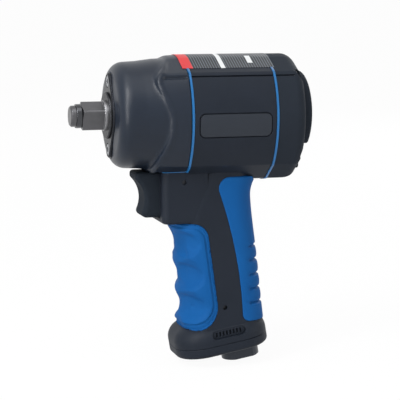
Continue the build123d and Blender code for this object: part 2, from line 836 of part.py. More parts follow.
# Barrel of the motor housing, as a solid
with BuildPart() as barrel:
    with BuildSketch(Plane.YZ.offset(housing_front)):
        add(barrel_outline.sketch)
    extrude(amount=barrel_length)

# Pockets for the two grips: everything outside the handle's core within each grip's outline
with BuildPart() as front_grip_pocket:
    with BuildSketch(Plane.XZ) as front_grip_face:
        with BuildLine():
            Polyline(
                (block_front - grip_clear, front_grip_top),
                (front_grip_top_rear, front_grip_top),
                (front_grip_bottom_rear, front_grip_bottom),
                (block_front - grip_clear, front_grip_bottom),
                close=True,
            )
        make_face()
        top_corner = (front_grip_top_rear, front_grip_top)
        fillet(front_grip_face.vertices().sort_by_distance(top_corner)[0], front_grip_corner)
        bottom_corner = (front_grip_bottom_rear, front_grip_bottom)
        fillet(front_grip_face.vertices().sort_by_distance(bottom_corner)[0], front_grip_base_corner)
    extrude(amount=base_width, both=True)
    add(handle_form(-front_grip_thickness), mode=Mode.SUBTRACT)

with BuildPart() as rear_grip_pocket:
    with BuildSketch(Plane.XZ) as rear_grip_face:
        far_rear = cover_rear + grip_clear
        with BuildLine():
            Polyline(
                (rear_grip_bottom_front, rear_grip_bottom),
                (far_rear, rear_grip_bottom),
                (far_rear, rear_grip_top),
                (rear_grip_top_front, rear_grip_top),
            )
            ThreePointArc(
                (rear_grip_top_front, rear_grip_top),
                rear_grip_middle,
                (rear_grip_bottom_front, rear_grip_bottom),
            )
        make_face()
        bottom_corner = (rear_grip_bottom_front, rear_grip_bottom)
        fillet(rear_grip_face.vertices().sort_by_distance(bottom_corner)[0], rear_grip_corner)
        top_corner = (rear_grip_top_front, rear_grip_top)
        fillet(rear_grip_face.vertices().sort_by_distance(top_corner)[0], rear_grip_top_corner)
    extrude(amount=base_width, both=True)
    add(handle_form(-grip_thickness), mode=Mode.SUBTRACT)

# Flared base of the handle above its cap
with BuildPart() as base_flare:
    with BuildSketch(handle_frame.offset(base_cap_thickness)):
        add(base_outline.sketch)
    extrude(amount=base_shoulder - base_cap_thickness)
    fillet(base_flare.faces().sort_by(handle_axis)[-1].edges(), base_shoulder_round)

# Block that houses the trigger, as a solid
with BuildPart() as trigger_block:
    block(block_front, block_rear, block_half, block_bottom, block_top)
    front_uprights = trigger_block.edges().filter_by(Axis.Z).group_by(Axis.X)[0]
    fillet(front_uprights, block_round)
    lower_edges = trigger_block.faces().sort_by(Axis.Z)[0].edges()
    fillet(lower_edges.filter_by(lambda edge: edge.center().X < block_front + block_round), block_lip_round)

# Soft grips: the handle's form, slightly proud, within those pockets
proud_handle = handle_form(grip_proud)
with BuildPart() as front_grip:
    add(proud_handle)
    add(front_grip_pocket.part, mode=Mode.INTERSECT)
    add(trigger_block.part, mode=Mode.SUBTRACT)
    add(base_flare.part, mode=Mode.SUBTRACT)
    for finger in range(finger_count):
        finger_z = finger_first_z - finger * finger_pitch
        finger_x = form_front(proud_handle, finger_z) + finger_depth + finger_wrap_r
        with Locations((finger_x, 0, finger_z)):
            Torus(finger_wrap_r + finger_r, finger_r, mode=Mode.SUBTRACT)

with BuildPart() as rib_grooves:
    for rib in range(rib_count):
        rib_z = rib_first_z - rib * rib_pitch
        block(rib_front, cover_rear, base_width, rib_z - rib_groove / 2, rib_z + rib_groove / 2)
    add(handle_form(grip_proud - rib_depth), mode=Mode.SUBTRACT)

with BuildPart() as rear_grip:
    add(proud_handle)
    add(rear_grip_pocket.part, mode=Mode.INTERSECT)
    add(barrel.part, mode=Mode.SUBTRACT)
    add(base_flare.part, mode=Mode.SUBTRACT)
    add(rib_grooves.part, mode=Mode.SUBTRACT)

with BuildPart() as handle:
    add(handle_form(0))
    add(front_grip_pocket.part, mode=Mode.SUBTRACT)
    add(rear_grip_pocket.part, mode=Mode.SUBTRACT)
    add(base_flare.part)
    with Locations(handle_frame.location * Location((base_centre, 0, base_cap_thickness))):
        Box(
            2 * base_length,
            2 * base_width,
            base_length,
            align=(Align.CENTER, Align.CENTER, Align.MAX),
            mode=Mode.SUBTRACT,
        )

# Skin of the barrel that the name plates are cut from
with BuildPart() as plate_skin:
    with BuildSketch(Plane.YZ.offset(housing_front)):
        add(barrel_outline.sketch)
        offset(amount=plate_proud)
        with BuildSketch(mode=Mode.PRIVATE) as plate_floor:
            add(barrel_outline.sketch)
            offset(amount=-plate_sink)
        add(plate_floor.sketch, mode=Mode.SUBTRACT)
    extrude(amount=barrel_length)


def name_plate(side, grow):
    """The piece of the plate skin on one flank within the plate's outline, grown by grow."""
    with BuildPart() as plate:
        with BuildSketch(Plane.XZ):
            with Locations((plate_front + plate_length / 2, plate_middle_z)):
                RectangleRounded(plate_length + 2 * grow, plate_height + 2 * grow, plate_corner + grow)
        extrude(amount=-side * 2 * side_y)
        add(plate_skin.part, mode=Mode.INTERSECT)
    return plate.part


# Motor housing: barrel, trigger block and handle in one moulding
tongue_slot_rear = tongue_rear + trigger_travel + free_gap
pin_x_in_handle = -(inlet_sleeve_r - inlet_pin_bite + inlet_pin_r)
with BuildPart() as motor_housing:
    add(trigger_block.part)
    add(barrel.part)
    add(handle.part)
    for side in (-1, 1):
        crease_groove(side)
        add(name_plate(side, plate_gap), mode=Mode.SUBTRACT)
    turned(housing_front - 1, housing_rear + 1, motor_bore_r, mode=Mode.SUBTRACT)
    for bolt_y, bolt_z in bolt_places:
        turned(housing_front - 1, housing_rear + 1, m4_r + free_gap, bolt_y, bolt_z, mode=Mode.SUBTRACT)
    block(
        block_front - 1,
        pocket_rear,
        trigger_half + free_gap,
        trigger_bottom - free_gap,
        block_top + 1,
        mode=Mode.SUBTRACT,
    )
    block(
        block_front,
        tongue_slot_rear,
        tongue_half + free_gap,
        trigger_pin_z - tongue_rise - free_gap,
        trigger_pin_z + tongue_rise + free_gap,
        mode=Mode.SUBTRACT,
    )
    crosswise(trigger_pin_x, trigger_pin_z, trigger_pin_r + slip, 2 * block_half, mode=Mode.SUBTRACT)
    turned(block_front, rod_bushing_end, rod_bushing_r + slip, z=rod_z, mode=Mode.SUBTRACT)
    turned(block_front, rod_meets_stem, rod_r + 2 * free_gap, z=rod_z, mode=Mode.SUBTRACT)
    upright(0, inlet_sleeve_top, inlet_sleeve_r + slip, mode=Mode.SUBTRACT)
    seat_end = seat_s + seat_thickness
    upright(0, seat_end, chamber_r, mode=Mode.SUBTRACT)
    upright(seat_end, upper_chamber_top, upper_chamber_r, upper_chamber_shift, mode=Mode.SUBTRACT)
    turned(rod_meets_stem, housing_rear + 1, gallery_r, z=gallery_z, mode=Mode.SUBTRACT)
    with Locations(handle_frame.location * Location((pin_x_in_handle, 0, inlet_pin_s))):
        Cylinder(inlet_pin_r + slip, 2 * base_width, rotation=(90, 0, 0), mode=Mode.SUBTRACT)
    for side in (-1, 1):
        slot_x = exhaust_slot_front + exhaust_slot_length / 2
        slot_y = side * (exhaust_slot_inner + exhaust_slot_outer) / 2
        slot_z = (exhaust_slot_top + exhaust_slot_bottom) / 2
        with Locations((slot_x, slot_y, slot_z)):
            Box(
                exhaust_slot_length,
                exhaust_slot_outer - exhaust_slot_inner,
                exhaust_slot_top - exhaust_slot_bottom,
                mode=Mode.SUBTRACT,
            )
    block(
        exhaust_duct_front,
        exhaust_duct_rear,
        exhaust_slot_outer,
        inlet_z - base_length,
        exhaust_duct_top,
        mode=Mode.SUBTRACT,
    )
    for base_x, base_y in base_screw_places:
        upright(0, base_cap_floor + base_screw_length, m3_r + slip, base_x, base_y, mode=Mode.SUBTRACT)
    for side in (-1, 1):
        louvre_plane = Plane(
            origin=handle_frame.from_local_coords((-louvre_forward, side * louvre_inner, louvre_s)),
            x_dir=handle_frame.x_dir,
            z_dir=(0, side, 0),
        )
        with BuildSketch(louvre_plane):
            SlotOverall(louvre_length + 2 * slip, louvre_height + 2 * slip)
        extrude(amount=base_width, mode=Mode.SUBTRACT)

# Louvred inserts in the flanks of the base
with BuildPart() as exhaust_louvres:
    for side in (-1, 1):
        louvre_plane = Plane(
            origin=handle_frame.from_local_coords((-louvre_forward, side * louvre_inner, louvre_s)),
            x_dir=handle_frame.x_dir,
            z_dir=(0, side, 0),
        )
        with BuildSketch(louvre_plane):
            SlotOverall(louvre_length, louvre_height)
        extrude(amount=louvre_thickness)
        with BuildSketch(louvre_plane.offset(louvre_thickness)):
            with GridLocations(louvre_pitch, 0, louvre_slots, 1):
                Rectangle(louvre_slot, louvre_height - 2 * louvre_slot)
        extrude(amount=-louvre_slot_depth, mode=Mode.SUBTRACT)

# Rear cover: domed shell with a round boss, bolt pockets and the reverse valve's bore
with BuildPart() as rear_cover:
    with BuildSketch(Plane.YZ.offset(cover_front)):
        add(barrel_outline.sketch)
    extrude(amount=cover_length)
    fillet(rear_cover.faces().sort_by(Axis.X)[-1].edges(), cover_round)
    with BuildSketch(Plane.YZ.offset(valve_rear)):
        Circle(boss_r)
        with Locations((0, boss_cut)):
            Rectangle(2 * boss_r, 2 * boss_r, align=(Align.CENTER, Align.MAX), mode=Mode.SUBTRACT)
    extrude(amount=boss_rear - valve_rear)
    fillet(rear_cover.faces().sort_by(Axis.X)[-1].edges(), boss_round)
    for side in (-1, 1):
        crease_groove(side)
    turned(rear_plate_end, cover_front, cylinder_r)
    turned(rear_plate_end - 1, valve_front, cavity_r, mode=Mode.SUBTRACT)
    turned(rear_plate_end - 1, boss_rear - cover_wall, boss_cavity_r, mode=Mode.SUBTRACT)
    for bolt_y, bolt_z in bolt_places:
        turned(cover_front - 1, bolt_head_x + 1, m4_r + free_gap, bolt_y, bolt_z, mode=Mode.SUBTRACT)
        turned(bolt_head_x, boss_rear, bolt_pocket_r, bolt_y, bolt_z, mode=Mode.SUBTRACT)
    turned(valve_front - 1, valve_rear, valve_r + running, z=valve_z, mode=Mode.SUBTRACT)
    turned(valve_rear - 1, boss_rear, valve_stem_r + running, z=valve_z, mode=Mode.SUBTRACT)
    seal_x = (valve_rear + cover_rear) / 2
    seal_half = lever_o_ring_wire_r + seal_gap
    seal_groove_r = valve_stem_r + running + 2 * seal_half
    turned(seal_x - seal_half, seal_x + seal_half, seal_groove_r, z=valve_z, mode=Mode.SUBTRACT)
    turned(cover_front - 1, valve_front + valve_r, gallery_r, z=gallery_z, mode=Mode.SUBTRACT)
    with Locations((valve_front + valve_r - gallery_r, 0, gallery_z)):
        Cylinder(gallery_r, valve_z - gallery_z, align=low, mode=Mode.SUBTRACT)

with BuildPart() as rear_bolts:
    bolt_length = bolt_head_x - case_seam + bolt_thread_depth - free_gap
    with Locations(*[facing(bolt_head_x, y, z, (1, 0, 0)) for y, z in bolt_places]):
        add(socket_screw(m4_r, bolt_length, m4_head_r, m4_r * 2))

# Reverse valve: a spool with a cross slot, on a stem that the lever turns
with BuildPart() as reverse_valve:
    turned(valve_front + free_gap, valve_rear - free_gap, valve_r, z=valve_z)
    with Locations((valve_front, 0, valve_z)):
        Box(valve_r * 2, valve_r * 3, valve_r / 2, mode=Mode.SUBTRACT)
    turned(valve_rear - free_gap, stem_end, valve_stem_r, z=valve_z)
    turned(lever_rear - lever_screw_length - free_gap, stem_end, m3_r + slip, z=valve_z, mode=Mode.SUBTRACT)

with BuildPart() as reverse_o_ring:
    with Locations((seal_x, 0, valve_z)):
        Torus(valve_stem_r + running + seal_half, lever_o_ring_wire_r, rotation=(0, 90, 0))

# Thumb lever on the reverse valve's stem
with BuildPart() as reverse_lever:
    with BuildSketch(Plane.YZ.offset(lever_front)):
        with Locations((0, valve_z)):
            Circle(lever_hub_r)
        with Locations((0, lever_tip_z + lever_tip_round)):
            with GridLocations(2 * (lever_tip_half - lever_tip_round), 0, 2, 1):
                Circle(lever_tip_round)
        make_hull()
    extrude(amount=lever_thickness)
    fillet(reverse_lever.faces().sort_by(Axis.X)[-1].edges(), lever_thickness / 5)
    turned(lever_front - 1, stem_end, valve_stem_r + slip, z=valve_z, mode=Mode.SUBTRACT)
    turned(lever_front, lever_rear + 1, m3_r + slip, z=valve_z, mode=Mode.SUBTRACT)

with BuildPart() as lever_screw:
    with Locations(facing(lever_rear, 0, valve_z, (1, 0, 0))):
        add(socket_screw(m3_r, lever_screw_length, m3_head_r, m3_head_height))

# Trigger: dished finger pad under a hood, with a slotted tongue behind it
with BuildPart() as trigger:
    with BuildSketch(Plane.XZ) as trigger_face:
        hood_bottom = trigger_top - hood_thickness
        with BuildLine():
            Polyline(
                (trigger_tip, hood_bottom),
                (trigger_tip, trigger_top),
                (trigger_rear, trigger_top),
                (trigger_rear, trigger_bottom),
                (trigger_front, trigger_bottom),
            )
            ThreePointArc(
                (trigger_front, trigger_bottom),
                (trigger_dish, (trigger_bottom + hood_bottom) / 2 - hood_thickness),
                (trigger_tip, hood_bottom),
            )
        make_face()
        trigger_foot = (trigger_front, trigger_bottom)
        fillet(trigger_face.vertices().sort_by_distance(trigger_foot)[0], trigger_foot_round)
        fillet(trigger_face.vertices().filter_by(lambda corner: corner.X < trigger_tip + slip), hood_round)
    extrude(amount=trigger_half, both=True)
    front_edges = trigger.edges().filter_by(lambda edge: edge.center().X < trigger_dish + hood_round)
    fillet(front_edges.filter_by(lambda edge: abs(edge.center().Y) > trigger_half / 2), trigger_edge_round)
    block(
        trigger_rear - tongue_wall,
        tongue_rear,
        tongue_half,
        trigger_pin_z - tongue_rise,
        trigger_pin_z + tongue_rise,
    )
    with BuildSketch(Plane.XZ):
        with Locations((trigger_pin_x - trigger_travel / 2, trigger_pin_z)):
            SlotCenterToCenter(trigger_travel, 2 * (trigger_pin_r + free_gap))
    extrude(amount=2 * trigger_half, both=True, mode=Mode.SUBTRACT)
    turned(trigger_rear - rod_grip, trigger_rear + 1, rod_r + slip, z=rod_z, mode=Mode.SUBTRACT)

with BuildPart() as trigger_pin:
    crosswise(trigger_pin_x, trigger_pin_z, trigger_pin_r, block_half - trigger_pin_sink)

with BuildPart() as trigger_rod:
    turned(trigger_rear - rod_grip, rod_tip, rod_r, z=rod_z)
    fillet(trigger_rod.edges().filter_by(GeomType.CIRCLE).sort_by(Axis.X)[-1], rod_r / 2)

# Bushing and seal that guide the rod into the air chamber
rod_groove_half = rod_seal_wire_r + seal_gap
with BuildPart() as rod_bushing:
    turned(pocket_rear, rod_bushing_end, rod_bushing_r, z=rod_z)
    turned(pocket_rear - 1, rod_bushing_end + 1, rod_r + running, z=rod_z, mode=Mode.SUBTRACT)
    turned(
        rod_seal_x - rod_groove_half,
        rod_seal_x + rod_groove_half,
        rod_r + running + 2 * rod_groove_half,
        z=rod_z,
        mode=Mode.SUBTRACT,
    )

with BuildPart() as rod_seal:
    with Locations((rod_seal_x, 0, rod_z)):
        Torus(rod_r + running + rod_groove_half, rod_seal_wire_r, rotation=(0, 90, 0))

# Throttle valve: a disc under its seat, on a stem that the rod tips
with BuildPart() as throttle_valve:
    upright(head_bottom, head_top, throttle_head_r)
    upright(head_top, throttle_top, throttle_stem_r)

with BuildPart() as valve_seat:
    upright(seat_s, seat_s + seat_thickness, chamber_r - slip)
    upright(seat_s - 1, seat_s + seat_thickness + 1, seat_hole_r, mode=Mode.SUBTRACT)

# Spring under the valve: quarter-turn arcs along a helix
spring_low = screen_floor + spring_wire_r + seal_gap
spring_high = head_bottom - spring_wire_r - free_gap


def spring_point(turn):
    """A point on the spring's centre line after so many turns."""
    angle = 2 * math.pi * turn
    height = spring_low + (spring_high - spring_low) * turn / spring_turns
    return handle_frame.from_local_coords((spring_r * math.cos(angle), spring_r * math.sin(angle), height))


with BuildPart() as valve_spring:
    with BuildLine() as spring_path:
        for quarter in range(4 * spring_turns):
            ThreePointArc(
                spring_point(quarter / 4),
                spring_point((quarter + 0.5) / 4),
                spring_point((quarter + 1) / 4),
            )
    with BuildSketch(Plane(origin=spring_path.line @ 0, z_dir=spring_path.line % 0)):
        Circle(spring_wire_r)
    sweep()

# Air inlet: threaded bushing with a collar, its strainer, seal and retaining pin
with BuildPart() as inlet_bushing:
    upright(-inlet_collar_length, 0, inlet_collar_r)
    upright(0, inlet_sleeve_top, inlet_sleeve_r)
    upright(-inlet_collar_length - 1, inlet_sleeve_top + 1, inlet_bore_r, mode=Mode.SUBTRACT)
    thread_end = inlet_thread_length - inlet_collar_length
    upright(-inlet_collar_length - 1, thread_end, inlet_thread_r, mode=Mode.SUBTRACT)
    for groove_s, groove_half, groove_depth in (
        (inlet_o_ring_s, inlet_o_ring_wire_r + seal_gap, 2 * (inlet_o_ring_wire_r + seal_gap) - slip),
        (inlet_pin_s, inlet_pin_r + slip, inlet_pin_bite + slip),
    ):
        with BuildSketch(handle_frame.offset(groove_s - groove_half)):
            Circle(inlet_sleeve_r + 1)
            Circle(inlet_sleeve_r - groove_depth, mode=Mode.SUBTRACT)
        extrude(amount=2 * groove_half, mode=Mode.SUBTRACT)
    for side in (-1, 1):
        flat_place = (0, side * inlet_flat_half, -inlet_collar_length)
        with Locations(handle_frame.location * Location(flat_place)):
            Box(
                4 * inlet_collar_r,
                inlet_collar_r,
                2 * inlet_flat_length,
                align=(Align.CENTER, Align.MIN if side > 0 else Align.MAX, Align.CENTER),
                mode=Mode.SUBTRACT,
            )

with BuildPart() as inlet_o_ring:
    with Locations(handle_frame.location * Location((0, 0, inlet_o_ring_s))):
        Torus(inlet_sleeve_r + slip - seal_gap - inlet_o_ring_wire_r, inlet_o_ring_wire_r)

with BuildPart() as inlet_pin:
    with Locations(handle_frame.location * Location((pin_x_in_handle, 0, inlet_pin_s))):
        Cylinder(inlet_pin_r, 2 * inlet_pin_half, rotation=(90, 0, 0))

with BuildPart() as inlet_screen:
    upright(inlet_sleeve_top, screen_floor, chamber_r - slip)
    upright(inlet_sleeve_top, inlet_sleeve_top + screen_height, screen_r)
    upright(
        inlet_sleeve_top - 1,
        inlet_sleeve_top + screen_height - screen_wall,
        screen_r - screen_wall,
        mode=Mode.SUBTRACT,
    )
    slot_length = screen_height - screen_flange - 3 * screen_wall
    slot_middle = screen_floor + screen_wall + slot_length / 2
    with Locations(handle_frame.location * Location((0, 0, slot_middle))):
        with PolarLocations(screen_r, 12):
            Box(4 * screen_wall, screen_slot, slot_length, mode=Mode.SUBTRACT)

# Felt muffler in the exhaust duct
with BuildPart() as muffler:
    block(
        exhaust_duct_front + free_gap,
        exhaust_duct_rear - free_gap,
        exhaust_slot_outer - free_gap,
        muffler_bottom,
        muffler_top,
    )

# Cap that closes the base, with the exhaust outlets
with BuildPart() as base_cap:
    with BuildSketch(handle_frame):
        add(base_outline.sketch)
    extrude(amount=base_cap_thickness)
    fillet(base_cap.faces().sort_by(handle_axis)[0].edges(), base_cap_round)
    chamfer(base_cap.faces().sort_by(handle_axis)[-1].edges(), base_seam)
    upright(-1, base_cap_thickness + 1, inlet_sleeve_r + slip, mode=Mode.SUBTRACT)
    duct_middle = (exhaust_duct_front + exhaust_duct_rear) / 2 - inlet_x
    with Locations(handle_frame.location * Location((duct_middle, 0, base_cap_floor))):
        Box(outlet_length, 2 * exhaust_slot_outer, base_cap_thickness, align=low, mode=Mode.SUBTRACT)
    with Locations(handle_frame.location * Location((duct_middle, 0, 0))):
        with GridLocations(0, outlet_pitch, 1, outlet_count):
            Box(outlet_length - outlet_pitch, outlet_width, 3 * base_cap_floor, mode=Mode.SUBTRACT)
    for base_x, base_y in base_screw_places:
        upright(-1, base_cap_thickness + 1, m3_r + slip, base_x, base_y, mode=Mode.SUBTRACT)
        upright(-1, base_cap_floor, m3_head_r + free_gap, base_x, base_y, mode=Mode.SUBTRACT)

with BuildPart() as base_screws:
    for base_x, base_y in base_screw_places:
        with Locations(handle_frame.location * Location((base_x, base_y, base_cap_floor), (180, 0, 0))):
            add(socket_screw(m3_r, base_screw_length, m3_head_r, m3_head_height))

# Bare name plates on the flanks of the barrel
with BuildPart() as name_plate_left:
    add(name_plate(-1, 0))

with BuildPart() as name_plate_right:
    add(name_plate(1, 0))

pieces = {
    "anvil": anvil,
    "retaining_o_ring": retaining_o_ring,
    "socket_retaining_ring": socket_retaining_ring,
    "anvil_bushing": anvil_bushing,
    "nose_plate": nose_plate,
    "nose_screws": nose_screws,
    "hammer_case": hammer_case,
    "front_trim_ring": front_trim_ring,
    "rear_trim_ring": rear_trim_ring,
    "hammer_cage": hammer_cage,
    "hammer_pins": hammer_pins,
    "front_hammer": front_hammer,
    "rear_hammer": rear_hammer,
    "rotor": rotor,
    "rotor_vanes": rotor_vanes,
    "motor_cylinder": motor_cylinder,
    "front_end_plate": front_end_plate,
    "rear_end_plate": rear_end_plate,
    "cylinder_dowel": cylinder_dowel,
    "front_bearing_inner": front_bearing_inner,
    "front_bearing_outer": front_bearing_outer,
    "front_bearing_balls": front_bearing_balls,
    "rear_bearing_inner": rear_bearing_inner,
    "rear_bearing_outer": rear_bearing_outer,
    "rear_bearing_balls": rear_bearing_balls,
    "motor_housing": motor_housing,
    "front_grip": front_grip,
    "rear_grip": rear_grip,
    "exhaust_louvres": exhaust_louvres,
    "rear_cover": rear_cover,
    "rear_bolts": rear_bolts,
    "reverse_valve": reverse_valve,
    "reverse_o_ring": reverse_o_ring,
    "reverse_lever": reverse_lever,
    "lever_screw": lever_screw,
    "trigger": trigger,
    "trigger_pin": trigger_pin,
    "trigger_rod": trigger_rod,
    "rod_bushing": rod_bushing,
    "rod_seal": rod_seal,
    "throttle_valve": throttle_valve,
    "valve_seat": valve_seat,
    "valve_spring": valve_spring,
    "inlet_bushing": inlet_bushing,
    "inlet_o_ring": inlet_o_ring,
    "inlet_pin": inlet_pin,
    "inlet_screen": inlet_screen,
    "muffler": muffler,
    "base_cap": base_cap,
    "base_screws": base_screws,
    "name_plate_left": name_plate_left,
    "name_plate_right": name_plate_right,
}
for name, piece in pieces.items():
    piece.part.label = name
    export_step(piece.part, f"parts/{name}.step")
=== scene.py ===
import math

import bpy
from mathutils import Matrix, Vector
from mathutils.geometry import interpolate_bezier, intersect_point_line


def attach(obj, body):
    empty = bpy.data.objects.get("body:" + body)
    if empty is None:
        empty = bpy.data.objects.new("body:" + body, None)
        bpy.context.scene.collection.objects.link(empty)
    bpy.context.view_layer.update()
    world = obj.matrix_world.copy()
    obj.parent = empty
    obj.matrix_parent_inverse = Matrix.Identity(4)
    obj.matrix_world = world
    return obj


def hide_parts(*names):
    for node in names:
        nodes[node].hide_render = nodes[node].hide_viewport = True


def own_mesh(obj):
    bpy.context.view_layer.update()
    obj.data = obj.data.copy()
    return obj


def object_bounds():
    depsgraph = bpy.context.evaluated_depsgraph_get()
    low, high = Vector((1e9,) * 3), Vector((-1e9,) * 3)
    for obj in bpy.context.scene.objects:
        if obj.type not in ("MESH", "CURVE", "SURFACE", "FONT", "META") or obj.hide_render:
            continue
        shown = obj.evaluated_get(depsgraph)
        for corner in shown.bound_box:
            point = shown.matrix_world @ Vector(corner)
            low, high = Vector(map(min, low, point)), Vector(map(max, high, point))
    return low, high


mm = 0.001

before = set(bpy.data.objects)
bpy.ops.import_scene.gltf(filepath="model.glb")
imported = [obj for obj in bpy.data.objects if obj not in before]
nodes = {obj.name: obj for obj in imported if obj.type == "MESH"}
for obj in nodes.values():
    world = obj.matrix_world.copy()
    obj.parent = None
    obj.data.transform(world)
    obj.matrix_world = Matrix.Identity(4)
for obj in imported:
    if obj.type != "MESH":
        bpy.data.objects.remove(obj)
cadLow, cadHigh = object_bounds()


# camera, at the photograph's height and turn
cameraSetup = {
    "eye": (-187.7, -879.6, 78.8),  # mm
    "azimuth": -15.5,               # degrees
    "elevation": 8.0,
    "lens": 145.8,                  # mm
    "sensor": 36,
    "clip": 200,                    # metres, past the far edge of the floor
}


def placeCamera(setup):
    turn = (math.radians(90 - setup["elevation"]), 0, math.radians(setup["azimuth"]))
    bpy.ops.object.camera_add(location=[c * mm for c in setup["eye"]], rotation=turn)
    camera = bpy.context.object
    camera.data.lens = setup["lens"]
    camera.data.sensor_width = setup["sensor"]
    camera.data.clip_end = setup["clip"]
    bpy.context.scene.camera = camera


placeCamera(cameraSetup)
print("camera placed")


# colour and node helpers; linear takes an sRGB hex value
def linear(hexColour):
    channels = [int(hexColour[i:i + 2], 16) / 255 for i in (1, 3, 5)]
    return [c / 12.92 if c <= 0.04045 else ((c + 0.055) / 1.055) ** 2.4 for c in channels] + [1.0]


def addNode(tree, kind, settings=None, links=None):
    node = tree.nodes.new(kind)
    for key, value in (settings or {}).items():
        if isinstance(key, int) or key in node.inputs:
            node.inputs[key].default_value = value
        else:
            setattr(node, key, value)
    for key, socket in (links or {}).items():
        tree.links.new(socket, node.inputs[key])
    return node


# scale that gives a pattern of this size
def perMetre(sizeMm):
    return 1 / (sizeMm * mm)


def startMaterial(name, look):
    material = bpy.data.materials.new(name)
    material.use_nodes = True
    tree = material.node_tree
    shader = tree.nodes["Principled BSDF"]
    shader.inputs["Base Color"].default_value = linear(look["colour"])
    shader.inputs["Roughness"].default_value = look["roughness"]
    shader.inputs["Metallic"].default_value = look.get("metallic", 0.0)
    for socket in ("IOR", "Specular IOR Level", "Specular Tint"):
        if socket in look:
            shader.inputs[socket].default_value = look[socket]
    place = addNode(tree, "ShaderNodeTexCoord").outputs["Object"]
    return material, tree, shader, place


cloudDetail = 3.0   # of the mottling
reliefDetail = 2.0  # of grain and cut lines
edgeSamples = 4


# mottled colour, uneven gloss, and relief over slightly broken edges: a moulding or casting has a pebbled
# grain, and machined metal has fine lines round or along its axis, which its gloss follows
# (a colour Mix node has its share at input 0, its colours at 6 and 7 and its result at output 2)
def surfaceMaterial(name, look):
    material, tree, shader, place = startMaterial(name, look)
    cloud = addNode(tree, "ShaderNodeTexNoise",
                    {"Scale": perMetre(look["cloud"]), "Detail": cloudDetail}, {"Vector": place})
    tint = addNode(tree, "ShaderNodeMix",
                   {"data_type": "RGBA", 6: linear(look["colour"]), 7: linear(look["light"])},
                   {0: cloud.outputs["Fac"]})
    tree.links.new(tint.outputs[2], shader.inputs["Base Color"])
    machined = "line" in look
    if machined:
        stretch = addNode(tree, "ShaderNodeMapping", {"Scale": look["stretch"]}, {"Vector": place})
        place = stretch.outputs["Vector"]
    relief = addNode(tree, "ShaderNodeTexNoise",
                     {"Scale": perMetre(look["line"] if machined else look["grain"]), "Detail": reliefDetail},
                     {"Vector": place})
    uneven = relief if machined else cloud
    gloss = addNode(tree, "ShaderNodeMapRange",
                    {"To Min": look["roughness"] - look["uneven"],
                     "To Max": look["roughness"] + look["uneven"]},
                    {"Value": uneven.outputs["Fac"]})
    tree.links.new(gloss.outputs["Result"], shader.inputs["Roughness"])
    edge = addNode(tree, "ShaderNodeBevel", {"samples": edgeSamples, "Radius": look["edge"] * mm})
    bump = addNode(tree, "ShaderNodeBump",
                   {"Strength": look["strength"], "Distance": look["depth"] * mm},
                   {"Height": relief.outputs["Fac"], "Normal": edge.outputs["Normal"]})
    tree.links.new(bump.outputs["Normal"], shader.inputs["Normal"])
    return material


# sizes in a look (cloud, grain or line, depth, edge) are in mm

# glass-filled nylon, moulded in an eroded tool: satin, with a fine pebble; grain drawn coarser than life
nylonLook = {
    "colour": "#1a1f27", "light": "#1f242d", "cloud": 16, "roughness": 0.5, "uneven": 0.04,
    "grain": 0.7, "depth": 0.05, "strength": 0.35, "edge": 0.5, "IOR": 1.5, "Specular IOR Level": 0.12,
}
nylon = surfaceMaterial("glass filled nylon", nylonLook)

# rear cover: the same nylon with a duller, coarser skin
coverLook = {
    **nylonLook, "colour": "#21262d", "light": "#262b33", "roughness": 0.62, "strength": 0.45,
    "Specular IOR Level": 0.05,
}
coverNylon = surfaceMaterial("dull glass filled nylon", coverLook)

# die-cast case under a baked black coating: a little smoother than the nylon
coatedCaseLook = {
    "colour": "#151c27", "light": "#19212d", "cloud": 20, "roughness": 0.34, "uneven": 0.04,
    "grain": 0.8, "depth": 0.04, "strength": 0.3, "edge": 0.6, "IOR": 1.5, "Specular IOR Level": 0.26,
}
coatedCase = surfaceMaterial("black coated alloy", coatedCaseLook)

# thermoplastic rubber, moulded over the handle: dull and soft to the eye
rubberLook = {
    "colour": "#0f4a84", "light": "#13518c", "cloud": 14, "roughness": 0.6, "uneven": 0.05,
    "grain": 0.6, "depth": 0.04, "strength": 0.3, "edge": 0.4, "IOR": 1.5, "Specular IOR Level": 0.06,
}
gripRubber = surfaceMaterial("blue thermoplastic rubber", rubberLook)

# trim: dyed ABS, gloss moulded, so it shows brighter than the rubber
trimLook = {
    "colour": "#175a90", "light": "#1c6299", "cloud": 12, "roughness": 0.3, "uneven": 0.03,
    "grain": 1.2, "depth": 0.02, "strength": 0.15, "edge": 0.3, "IOR": 1.5, "Specular IOR Level": 0.35,
}
trimAbs = surfaceMaterial("blue gloss ABS", trimLook)

# trigger and lever: acetal, moulded in a blasted tool, matt and even
acetalLook = {
    "colour": "#1e2329", "light": "#23282f", "cloud": 14, "roughness": 0.6, "uneven": 0.04,
    "grain": 0.8, "depth": 0.03, "strength": 0.2, "edge": 0.5, "IOR": 1.48, "Specular IOR Level": 0.02,
}
acetal = surfaceMaterial("black acetal", acetalLook)

# name plates: moulded polycarbonate with a low, even sheen
plateLook = {
    "colour": "#20252d", "light": "#252a32", "cloud": 18, "roughness": 0.42, "uneven": 0.03,
    "grain": 0.5, "depth": 0.02, "strength": 0.2, "edge": 0.3, "IOR": 1.58, "Specular IOR Level": 0.2,
}
plateSatin = surfaceMaterial("satin polycarbonate", plateLook)

# seals: moulded nitrile, dull black
sealLook = {
    "colour": "#151515", "light": "#1c1c1c", "cloud": 6, "roughness": 0.6, "uneven": 0.06,
    "grain": 0.5, "depth": 0.03, "strength": 0.3, "edge": 0.1, "IOR": 1.5, "Specular IOR Level": 0.35,
}
sealRubber = surfaceMaterial("nitrile rubber", sealLook)

